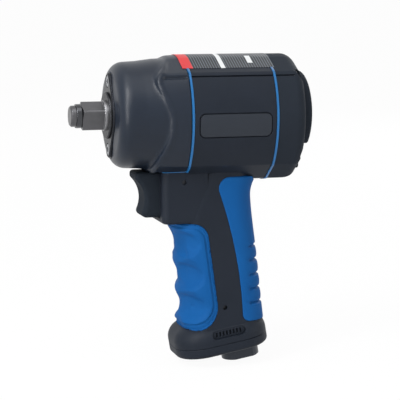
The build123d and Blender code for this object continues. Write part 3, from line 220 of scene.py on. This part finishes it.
# muffler: pressed felt, woolly and without shine
feltLook = {
    "colour": "#7d7c76", "light": "#918f88", "cloud": 3, "roughness": 0.9, "uneven": 0.05,
    "grain": 0.35, "depth": 0.2, "strength": 0.8, "edge": 0.3, "IOR": 1.45, "Specular IOR Level": 0.2,
}
felt = surfaceMaterial("pressed felt", feltLook)

# rotor vanes: fibre pressed in resin, brown and flecked
vaneLook = {
    "colour": "#6a4a2c", "light": "#7b5836", "cloud": 4, "roughness": 0.55, "uneven": 0.06,
    "grain": 0.4, "depth": 0.04, "strength": 0.4, "edge": 0.2, "IOR": 1.55, "Specular IOR Level": 0.4,
}
vaneResin = surfaceMaterial("pressed fibre resin", vaneLook)

# hammers and cage: hardened steel, ground lengthwise under a grey phosphate
driveLook = {
    "colour": "#575759", "light": "#646467", "cloud": 4, "roughness": 0.33, "uneven": 0.07, "metallic": 1.0,
    "line": 0.35, "stretch": (0.08, 1, 1), "depth": 0.02, "strength": 0.3, "edge": 0.35,
}
driveSteel = surfaceMaterial("ground drive steel", driveLook)

# anvil: the same steel; where it runs in its bushing, behind the square, a paler colour is painted on as a
# highlight
anvilLook = {**driveLook, "journalHighlight": "#b0b0b3", "squareEnd": -0.3, "journalFront": 0.2}  # mm


def anvilMaterial(name, look):
    material = surfaceMaterial(name, look)
    tree = material.node_tree
    shader = tree.nodes["Principled BSDF"]
    ground = shader.inputs["Base Color"].links[0].from_socket
    place = addNode(tree, "ShaderNodeTexCoord").outputs["Object"]
    split = addNode(tree, "ShaderNodeSeparateXYZ", None, {0: place})
    # share of the painted highlight, rising from the end of the square to the journal's front
    behind = addNode(tree, "ShaderNodeMapRange",
                     {"From Min": look["squareEnd"] * mm, "From Max": look["journalFront"] * mm},
                     {"Value": split.outputs["X"]})
    # paler colour on the journal: a painted highlight, not a change of finish
    tint = addNode(tree, "ShaderNodeMix", {"data_type": "RGBA", 7: linear(look["journalHighlight"])},
                   {0: behind.outputs["Result"], 6: ground})
    tree.links.new(tint.outputs[2], shader.inputs["Base Color"])
    return material


anvilSteel = anvilMaterial("ground steel with painted journal highlight", anvilLook)

# motor, bearings and rods: bright steel, turned and ground, with fine rings
turnedLook = {
    "colour": "#a8a8a6", "light": "#b8b7b4", "cloud": 6, "roughness": 0.26, "uneven": 0.06, "metallic": 1.0,
    "line": 0.3, "stretch": (1, 0.15, 0.15), "depth": 0.015, "strength": 0.25, "edge": 0.25,
}
turnedSteel = surfaceMaterial("turned bright steel", turnedLook)

# bushing: steel tempered in oil, dark with paler spots, and with less shine at a low angle
bushingLook = {
    "colour": "#2c2d30", "light": "#56575a", "cloud": 2.2, "roughness": 0.24, "uneven": 0.12, "metallic": 1.0,
    "line": 0.8, "stretch": (1, 0.4, 0.4), "depth": 0.06, "strength": 0.6, "edge": 0.4,
    "Specular Tint": linear("#cccccc"),
}
bushingSteel = surfaceMaterial("tempered bushing steel", bushingLook)

# fasteners: black oxide on steel, dark with a soft shine
blackSteelLook = {
    "colour": "#2c2e32", "light": "#383a3e", "cloud": 5, "roughness": 0.36, "uneven": 0.06, "metallic": 1.0,
    "line": 0.4, "stretch": (1, 1, 1), "depth": 0.02, "strength": 0.3, "edge": 0.3,
}
blackSteel = surfaceMaterial("black oxide steel", blackSteelLook)

# friction ring: drawn and polished, smooth enough for a sharp highlight
ringLook = {**blackSteelLook, "colour": "#454649", "light": "#525356", "roughness": 0.16, "uneven": 0.05}
ringSteel = surfaceMaterial("polished spring steel", ringLook)

# nose screws: steel made pale, a painted highlight standing in for their lit heads and glints
screwHighlightLook = {**blackSteelLook, "colour": "#7d8085", "light": "#8c8f94", "roughness": 0.24}
screwHighlightSteel = surfaceMaterial("pale steel with painted screw highlights", screwHighlightLook)

# nose plate: stamped steel under a dark phosphate, as dull as the fasteners
plateSteelLook = {**blackSteelLook, "colour": "#282a2e", "light": "#33353a"}
plateSteel = surfaceMaterial("phosphated steel", plateSteelLook)

# valve seat, rod bushing and screen: turned brass, warm and bright
brassLook = {
    "colour": "#b08d4a", "light": "#bd9a55", "cloud": 5, "roughness": 0.3, "uneven": 0.06, "metallic": 1.0,
    "line": 0.3, "stretch": (0.15, 1, 1), "depth": 0.015, "strength": 0.25, "edge": 0.2,
}
brass = surfaceMaterial("turned brass", brassLook)

# air inlet: turned aluminium, anodised dark
inletLook = {
    "colour": "#34373c", "light": "#3d4046", "cloud": 6, "roughness": 0.4, "uneven": 0.06, "metallic": 1.0,
    "line": 0.35, "stretch": (1, 1, 0.15), "depth": 0.02, "strength": 0.3, "edge": 0.3,
}
inletAlloy = surfaceMaterial("dark anodised aluminium", inletLook)

# roof label: screen-printed vinyl film, smooth with a low sheen; its stripes run across the tool
filmLook = {
    "cloud": 9, "roughness": 0.4, "uneven": 0.03,
    "grain": 0.5, "depth": 0.01, "strength": 0.15, "edge": 0.1, "IOR": 1.5, "Specular IOR Level": 0.3,
}
filmRed = surfaceMaterial("red printed vinyl", {**filmLook, "colour": "#b8262a", "light": "#c22e32"})
filmWhite = surfaceMaterial("white printed vinyl", {**filmLook, "colour": "#c9cbcd", "light": "#d2d4d5"})
stripedLook = {
    **filmLook, "colour": "#14171b", "light": "#565d66",
    "pitch": 1.5, "width": 0.32,  # mm, and the pale stripe's share of the pitch
}


# stripes take the place of the mottling
def stripedFilm(name, look):
    material = surfaceMaterial(name, look)
    tree = material.node_tree
    tint = tree.nodes["Principled BSDF"].inputs["Base Color"].links[0].from_node
    place = addNode(tree, "ShaderNodeTexCoord").outputs["Object"]
    split = addNode(tree, "ShaderNodeSeparateXYZ", None, {0: place})
    turns = addNode(tree, "ShaderNodeMath", {"operation": "MULTIPLY", 1: perMetre(look["pitch"])},
                    {0: split.outputs["X"]})
    step = addNode(tree, "ShaderNodeMath", {"operation": "FRACT"}, {0: turns.outputs[0]})
    line = addNode(tree, "ShaderNodeMath", {"operation": "LESS_THAN", 1: look["width"]}, {0: step.outputs[0]})
    tree.links.new(line.outputs[0], tint.inputs[0])
    return material


filmStripes = stripedFilm("striped printed vinyl", stripedLook)
print("materials made")

finishes = {
    nylon: ("motor_housing", "base_cap", "exhaust_louvres"),
    coverNylon: ("rear_cover",),
    coatedCase: ("hammer_case",),
    gripRubber: ("front_grip", "rear_grip"),
    trimAbs: ("front_trim_ring", "rear_trim_ring"),
    acetal: ("trigger", "reverse_lever"),
    plateSatin: ("name_plate_left", "name_plate_right"),
    anvilSteel: ("anvil",),
    driveSteel: ("hammer_cage", "front_hammer", "rear_hammer"),
    bushingSteel: ("anvil_bushing",),
    turnedSteel: ("hammer_pins", "rotor", "motor_cylinder", "front_end_plate", "rear_end_plate",
                  "cylinder_dowel", "front_bearing_inner", "front_bearing_outer", "front_bearing_balls",
                  "rear_bearing_inner", "rear_bearing_outer", "rear_bearing_balls", "trigger_rod",
                  "valve_spring", "reverse_valve", "throttle_valve"),
    ringSteel: ("socket_retaining_ring",),
    plateSteel: ("nose_plate",),
    # nose screws take the pale steel whose colour is a painted highlight
    screwHighlightSteel: ("nose_screws",),
    blackSteel: ("rear_bolts", "lever_screw", "base_screws", "trigger_pin", "inlet_pin"),
    brass: ("rod_bushing", "valve_seat", "inlet_screen"),
    inletAlloy: ("inlet_bushing",),
    sealRubber: ("retaining_o_ring", "reverse_o_ring", "rod_seal", "inlet_o_ring"),
    felt: ("muffler",),
    vaneResin: ("rotor_vanes",),
}
for material, names in finishes.items():
    for name in names:
        nodes[name].data.materials.clear()
        nodes[name].data.materials.append(material)
unfinished = set(nodes) - {name for names in finishes.values() for name in names}
print("CAD nodes with no finish:", sorted(unfinished))


# shaping helpers
mergeGap = 0.01     # mm
smoothFactor = 0.5


def smoothStep(low, high, value):
    t = min(max((value - low) / (high - low), 0.0), 1.0)
    return t * t * (3 - 2 * t)


def copyNode(node, name):
    bpy.ops.object.select_all(action="DESELECT")
    piece = bpy.data.objects.new(name, nodes[node].data.copy())
    bpy.context.collection.objects.link(piece)
    piece.select_set(True)
    bpy.context.view_layer.objects.active = piece
    bpy.ops.object.mode_set(mode="EDIT")
    bpy.ops.mesh.select_all(action="SELECT")
    bpy.ops.mesh.remove_doubles(threshold=mergeGap * mm)
    bpy.ops.object.mode_set(mode="OBJECT")
    return piece


def applyModifier(piece, kind, settings):
    modifier = piece.modifiers.new(kind.lower(), kind)
    for key, value in settings.items():
        setattr(modifier, key, value)
    bpy.ops.object.modifier_apply(modifier=modifier.name)


# moulding or casting from its CAD shape: an even fine mesh with its corners eased
def softCopy(node, name, setup):
    piece = copyNode(node, name)
    applyModifier(piece, "REMESH", {"mode": "VOXEL", "voxel_size": setup["voxel"] * mm})
    applyModifier(piece, "SMOOTH", {"factor": smoothFactor, "iterations": setup["ease"]})
    return piece


# extra smoothing of the vertices that have a weight
def easeNear(piece, passes, weights):
    group = piece.vertex_groups.new(name="ease")
    for index, weight in weights.items():
        group.add([index], weight, "REPLACE")
    applyModifier(piece, "SMOOTH", {"factor": smoothFactor, "iterations": passes, "vertex_group": group.name})
    piece.vertex_groups.clear()


# all normals, read before the vertices move, because each move would renew them
def readNormals(piece):
    return [vertex.normal.copy() for vertex in piece.data.vertices]


def finishPiece(piece, body, node, material):
    piece.data.materials.clear()
    piece.data.materials.append(material)
    bpy.ops.object.shade_smooth()
    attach(piece, body)
    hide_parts(node)


# hammer case: a casting whose wave-shaped lip stands over the round nose; places and sizes in mm
hammerCase = {
    "voxel": 0.55, "ease": 3,
    "skin": 27.0,         # what lies further than this from the drive axis is outside
    "span": (16, 42.4),   # from the nose to the rear seam
    "wave": ((40, 38), (34.4, 31.6), (31, 27.2), (25.6, 21), (29, 10.5), (32.4, 0),
             (31.4, -10), (25.2, -26), (23.6, -38)),
    "steps": 4,           # points per stretch of the wave
    "reach": 5.0, "passes": 7,
    "lip": (-0.2, 1.6, 0.95),          # distance behind the wave, half width, height
    "fade": (26.5, 32.5),              # heights between which the lip dies out on the roof
    # groove that runs on from the housing's crease: distance from the middle, height, half width, depth
    "groove": (25.5, 22.1, 0.9, 1.2),
}


# smooth line through a few points
def smoothLine(places, steps):
    points = [Vector((x, 0, z)) for x, z in places]
    chords = [end - start for start, end in zip(points, points[1:])]
    slopes = [chords[0].normalized()]
    for before, after in zip(chords, chords[1:]):
        both = before.normalized() * after.length + after.normalized() * before.length
        slopes.append(both / (before.length + after.length))
    slopes.append(chords[-1].normalized())
    line = []
    for i, chord in enumerate(chords):
        leave = points[i] + slopes[i] * chord.length / 3
        arrive = points[i + 1] - slopes[i + 1] * chord.length / 3
        line += interpolate_bezier(points[i], leave, arrive, points[i + 1], steps)[:-1]
    return line + points[-1:]


# distance behind the wave
def waveGap(wave, reach, x, z):
    spot = Vector((x, 0, z))
    gap = 2 * reach
    for start, end in zip(wave, wave[1:]):
        share = intersect_point_line(spot, start, end)[1]
        away = spot - start.lerp(end, min(max(share, 0), 1))
        if away.length < abs(gap):
            gap = math.copysign(away.length, away.cross(end - start).y)
    return gap


def makeHammerCase(setup):
    piece = softCopy("hammer_case", "hammer_case_casting", setup)
    wave = smoothLine(setup["wave"], setup["steps"])
    front, rear = setup["span"]
    reach = setup["reach"]
    gaps = {}
    for vertex in piece.data.vertices:
        x, y, z = vertex.co / mm
        if math.hypot(y, z) > setup["skin"] and front < x < rear:
            gaps[vertex.index] = waveGap(wave, reach, x, z)
    weights = {index: 1 - smoothStep(reach / 2, reach, abs(gap)) for index, gap in gaps.items()}
    easeNear(piece, setup["passes"], weights)
    normals = readNormals(piece)
    place, half, height = setup["lip"]
    grooveY, grooveZ, grooveHalf, grooveDepth = setup["groove"]
    for index, gap in gaps.items():
        spot = piece.data.vertices[index].co
        fade = 1 - smoothStep(*setup["fade"], spot.z / mm)
        lift = height * math.exp(-((gap - place) / half) ** 2) * fade
        off = math.hypot(abs(spot.y / mm) - grooveY, spot.z / mm - grooveZ) / grooveHalf
        lift -= grooveDepth * math.exp(-off ** 2) * smoothStep(half, 2 * half, gap)
        spot += normals[index] * lift * mm
    finishPiece(piece, "housing", "hammer_case", coatedCase)


makeHammerCase(hammerCase)
print("hammer case cast")

# front grip: low rim round a raised panel with the finger hollows; places and sizes in mm
frontGrip = {
    "voxel": 0.4, "ease": 5, "lastPasses": 2,
    "top": -60.5, "foot": -122.0, "rearTop": 55.5, "rearFoot": 63.4, "topCorner": 9.0, "footCorner": 14.0,
    "base": (79.0, -132.6, 9.6, 17.0),  # base frame's place and tilt, and the height of its shoulder
    "rim": 2.4, "rimDrop": 0.6, "step": 0.7, "panelRise": 0.4, "edge": 1.0, "edgeDrop": 0.35,
    "frontPasses": 40,                  # round the crests between the finger hollows
    "frontReach": 46.0, "frontBlend": 3.0, "frontInset": 1.0,
    "hollows": ((-72.6, 52.0), (-90.4, 53.4), (-108.2, 56.0)),  # height and rear end
    "hollowFront": 43.0, "hollowHalf": 7.8, "hollowDepth": 1.7,
    "hollowBlend": 0.6,                 # share of a hollow in which its floor falls away
    # heights down the front, and how far back its crests and hollows are set there
    "setBack": ((-66, 0), (-73, 0.6), (-78, 1.5), (-85, -1.8),
                (-90, -1.4), (-97, 0.9), (-103, -1.3), (-111, 0)),
    "setPasses": 10,
    "outward": 0.25,                    # least part of a normal that points out, on the outer skin
}


# distance inside the grip's border, as seen from the side
def gripInset(setup, x, z):
    lean = math.atan2(setup["rearFoot"] - setup["rearTop"], setup["top"] - setup["foot"])
    fromTop = setup["top"] - z
    fromRear = (setup["rearTop"] + math.tan(lean) * fromTop - x) * math.cos(lean)
    baseX, baseZ, tilt, shoulder = setup["base"]
    tilt = math.radians(tilt)
    baseTop = baseZ + shoulder / math.cos(tilt) + math.tan(tilt) * (x - baseX)
    fromFoot = min(z - setup["foot"], (z - baseTop) * math.cos(tilt))
    inset = min(fromTop, fromRear, fromFoot)
    for other, corner in ((fromTop, setup["topCorner"]), (fromFoot, setup["footCorner"])):
        if other < corner and fromRear < corner:
            inset = min(inset, corner - math.hypot(corner - other, corner - fromRear))
    return inset


# how far back the front's crests and hollows are set at a height
def frontSetBack(setup, z):
    for (high, first), (low, second) in zip(setup["setBack"], setup["setBack"][1:]):
        if low < z <= high:
            return first + (second - first) * smoothStep(high, low, z)
    return 0


def makeFrontGrip(setup):
    piece = softCopy("front_grip", "front_grip_rubber", setup)
    weights = {}
    for vertex in piece.data.vertices:
        x, _, z = vertex.co / mm
        weight = 1 - smoothStep(setup["frontReach"] - setup["frontBlend"], setup["frontReach"], x)
        if weight > 0 and gripInset(setup, x, z) > setup["frontInset"]:
            weights[vertex.index] = weight
    easeNear(piece, setup["frontPasses"], weights)
    for index, weight in weights.items():
        spot = piece.data.vertices[index].co
        spot.x += frontSetBack(setup, spot.z / mm) * weight * mm
    easeNear(piece, setup["setPasses"], weights)
    for vertex, normal in zip(piece.data.vertices, readNormals(piece)):
        x, y, z = vertex.co / mm
        if normal.y * y <= setup["outward"] * abs(y) and normal.x > -setup["outward"]:
            continue  # inner side or edge
        inset = gripInset(setup, x, z)
        raised = smoothStep(setup["rim"], setup["rim"] + setup["step"], inset)
        lift = raised * (setup["rimDrop"] + setup["panelRise"]) - setup["rimDrop"]
        lift -= setup["edgeDrop"] * (1 - smoothStep(0, setup["edge"], inset))
        for height, rear in setup["hollows"]:
            along = max(0, x - setup["hollowFront"]) / (rear - setup["hollowFront"])
            across = (z - height) / setup["hollowHalf"]
            dish = smoothStep(0, setup["hollowBlend"], 1 - along ** 2 - across ** 2)
            lift -= setup["hollowDepth"] * dish * abs(normal.y)
        vertex.co += normal * lift * mm
    applyModifier(piece, "SMOOTH", {"factor": smoothFactor, "iterations": setup["lastPasses"]})
    finishPiece(piece, "housing", "front_grip", gripRubber)


makeFrontGrip(frontGrip)
print("front grip moulded")

# rear grip: rounded ribs, and a flare where its back runs into the barrel; places and sizes in mm
rearGrip = {
    "voxel": 0.42, "ease": 8,
    "flareFrom": -47.0, "flareHeight": 12.5, "flare": 4.5,
    "ribTop": -74.6, "ribPitch": 8.1, "ribs": 4,
    "ribFront": 80.0, "ribBlend": 2.5, "ribDrop": 0.6,
}


def makeRearGrip(setup):
    piece = softCopy("rear_grip", "rear_grip_rubber", setup)
    ribStart, ribFull = setup["ribFront"] - setup["ribBlend"], setup["ribFront"] + setup["ribBlend"]
    for vertex, normal in zip(piece.data.vertices, readNormals(piece)):
        x, y, z = vertex.co / mm
        rise = max(0, z - setup["flareFrom"]) / setup["flareHeight"]
        rib = (setup["ribTop"] - z) / setup["ribPitch"]
        drop = 0
        if 0 < rib < setup["ribs"]:
            drop = setup["ribDrop"] * (2 * (rib % 1) - 1) ** 2 * smoothStep(ribStart, ribFull, x)
        vertex.co.x += (setup["flare"] * rise ** 2 - drop) * max(0, normal.x) * mm
        vertex.co.y -= math.copysign(drop, y) * max(0, normal.y * math.copysign(1, y)) * mm
    finishPiece(piece, "housing", "rear_grip", gripRubber)


makeRearGrip(rearGrip)
print("rear grip moulded")

# trigger: moulded with well rounded corners
softTrigger = {"voxel": 0.35, "ease": 9}  # mm, passes
trigger = softCopy("trigger", "trigger_moulding", softTrigger)
finishPiece(trigger, "trigger", "trigger", acetal)
print("trigger moulded")


def makeValveSpring():
    piece = copyNode("valve_spring", "valve_spring_coil")
    finishPiece(piece, "housing", "valve_spring", turnedSteel)
    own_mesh(piece)


makeValveSpring()
print("valve spring set")

# roof label: thin printed film that runs over both trim rings, which lie flush with the roof under it
roofLabel = {
    "front": 40.8, "rear": 93.6, "half": 20.0,                       # mm
    "flat": 9.0, "ridge": 33.2, "ridgeRadius": 26.1, "fall": 0.471,  # roof section, mm and slope
    "off": 0.06, "film": 0.12, "edge": 0.15,
    "redEnd": 46.8, "bar": (62.8, 65.4), "chip": (79.6, 82.6, 7.0, 15.0),
    "lengthSteps": 4, "widthSteps": 40,
    "filmAngle": 40, "bandAngle": 30,                                # degrees, past which an edge stays sharp
}


def roofHeight(setup, y):
    centre = setup["ridge"] - setup["ridgeRadius"]
    if abs(y) < setup["flat"]:
        return centre + math.sqrt(setup["ridgeRadius"] ** 2 - y * y)
    brow = centre + math.sqrt(setup["ridgeRadius"] ** 2 - setup["flat"] ** 2)
    return brow - setup["fall"] * (abs(y) - setup["flat"])


def makeTrimBand(node, name, setup):
    piece = copyNode(node, name)
    bpy.ops.object.mode_set(mode="EDIT")
    for y in (setup["half"] - setup["edge"], setup["half"] + setup["edge"]):
        for side in (-1, 1):
            bpy.ops.mesh.select_all(action="SELECT")
            bpy.ops.mesh.bisect(plane_co=(0, side * y * mm, 0), plane_no=(0, 1, 0))
    bpy.ops.object.mode_set(mode="OBJECT")
    for vertex in piece.data.vertices:
        y, z = vertex.co.y / mm, vertex.co.z / mm
        if abs(y) < setup["half"]:
            vertex.co.z = min(z, roofHeight(setup, y)) * mm
    finishPiece(piece, "housing", node, trimAbs)
    bpy.ops.object.shade_smooth_by_angle(angle=math.radians(setup["bandAngle"]))


def makeRoofLabel(setup):
    bpy.ops.object.select_all(action="DESELECT")
    length, width = setup["rear"] - setup["front"], 2 * setup["half"]
    bpy.ops.mesh.primitive_grid_add(x_subdivisions=setup["lengthSteps"], y_subdivisions=setup["widthSteps"],
                                    size=1, calc_uvs=False)
    piece = bpy.context.object
    piece.name = "roof_label"
    piece.location = ((setup["front"] + setup["rear"]) / 2 * mm, 0, 0)
    piece.scale = (length * mm, width * mm, 1)
    bpy.ops.object.transform_apply(location=True, rotation=True, scale=True)
    barFront, barRear = setup["bar"]
    chipFront, chipRear, chipInner, chipOuter = setup["chip"]
    bpy.ops.object.mode_set(mode="EDIT")
    for border in (setup["redEnd"], barFront, barRear, chipFront, chipRear):
        bpy.ops.mesh.select_all(action="SELECT")
        bpy.ops.mesh.bisect(plane_co=(border * mm, 0, 0), plane_no=(1, 0, 0))
    bpy.ops.object.mode_set(mode="OBJECT")
    for vertex in piece.data.vertices:
        vertex.co.z = (roofHeight(setup, vertex.co.y / mm) + setup["off"]) * mm
    inks = (filmStripes, filmRed, filmWhite)
    for material in inks:
        piece.data.materials.append(material)
    for face in piece.data.polygons:
        x, y = face.center.x / mm, face.center.y / mm
        onChip = chipFront < x < chipRear and chipInner < abs(y) < chipOuter
        if x < setup["redEnd"]:
            face.material_index = inks.index(filmRed)
        elif barFront < x < barRear or onChip:
            face.material_index = inks.index(filmWhite)
    applyModifier(piece, "SOLIDIFY", {"thickness": setup["film"] * mm, "offset": 1.0})
    bpy.ops.object.shade_smooth_by_angle(angle=math.radians(setup["filmAngle"]))
    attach(piece, "housing")


makeTrimBand("front_trim_ring", "front_trim_band", roofLabel)
makeTrimBand("rear_trim_ring", "rear_trim_band", roofLabel)
makeRoofLabel(roofLabel)
print("roof label laid")


# studio: pale floor, level light, white surroundings; places and sizes in metres
studio = {
    "floor": "#e9e9e9",
    "floorSize": 80,
    "white": 0.95,       # share of plain white in what the camera and reflections see of the floor
    "world": 0.34,
    "backdrop": 0.98,    # strength that the camera and reflections see, level with the floor
    "sun": {"place": (0, 0, 2), "turn": (18, -14), "strength": 1.25, "spread": 60},  # degrees
    "lamps": {
        "left": {"place": (-0.52, -0.40, 0.3), "size": (0.13, 0.95), "watts": 5.5},
        "key": {"place": (-0.7, -1.0, 1.2), "size": (0.9, 0.9), "watts": 7.0},
        "fill": {"place": (1.5, -0.8, 0.25), "size": (0.9, 0.9), "watts": 4.6},
        "back": {"place": (1.0, 1.0, 0.6), "size": (0.9, 0.9), "watts": 6.0},
    },
    "aim": (0.05, 0.0, -0.03),
}


# 1 for rays that see the surroundings straight, in a mirror or through glass
def seenRays(tree):
    path = addNode(tree, "ShaderNodeLightPath")
    first = addNode(tree, "ShaderNodeMath", {"operation": "MAXIMUM"},
                    {0: path.outputs["Is Camera Ray"], 1: path.outputs["Is Glossy Ray"]})
    return addNode(tree, "ShaderNodeMath", {"operation": "MAXIMUM"},
                   {0: first.outputs[0], 1: path.outputs["Is Transmission Ray"]}).outputs[0]


def makeFloor(setup):
    bpy.ops.mesh.primitive_plane_add(size=setup["floorSize"], location=(0, 0, cadLow.z))
    floor = bpy.context.object
    floor.name = "studio_floor"
    material = bpy.data.materials.new("pale floor")
    material.use_nodes = True
    tree = material.node_tree
    tree.nodes.clear()
    matte = addNode(tree, "ShaderNodeBsdfDiffuse", {"Color": linear(setup["floor"])})
    plain = addNode(tree, "ShaderNodeEmission")
    share = addNode(tree, "ShaderNodeMath", {"operation": "MULTIPLY", 1: setup["white"]}, {0: seenRays(tree)})
    mix = addNode(tree, "ShaderNodeMixShader", None,
                  {0: share.outputs[0], 1: matte.outputs[0], 2: plain.outputs[0]})
    addNode(tree, "ShaderNodeOutputMaterial", None, {"Surface": mix.outputs[0]})
    floor.data.materials.append(material)


def makeWorld(setup):
    world = bpy.data.worlds.new("studio")
    bpy.context.scene.world = world
    world.use_nodes = True
    tree = world.node_tree
    strength = addNode(tree, "ShaderNodeMapRange",
                       {"To Min": setup["world"], "To Max": setup["backdrop"]}, {"Value": seenRays(tree)})
    background = tree.nodes["Background"]
    background.inputs["Color"].default_value = linear("#ffffff")
    tree.links.new(strength.outputs["Result"], background.inputs["Strength"])


def makeLamps(setup):
    for name, lamp in setup["lamps"].items():
        place = Vector(lamp["place"])
        turn = (Vector(setup["aim"]) - place).to_track_quat("-Z", "Y").to_euler()
        bpy.ops.object.light_add(type="AREA", location=place, rotation=turn)
        light = bpy.context.object
        light.name = name
        light.data.shape = "RECTANGLE"
        light.data.size, light.data.size_y = lamp["size"]
        light.data.energy = lamp["watts"]
    turn = [math.radians(a) for a in setup["sun"]["turn"]] + [0]
    bpy.ops.object.light_add(type="SUN", location=setup["sun"]["place"], rotation=turn)
    sun = bpy.context.object
    sun.name = "ceiling"
    sun.data.energy = setup["sun"]["strength"]
    sun.data.angle = math.radians(setup["sun"]["spread"])


makeFloor(studio)
makeWorld(studio)
makeLamps(studio)
bpy.context.scene.view_settings.view_transform = "Standard"
print("studio lit")
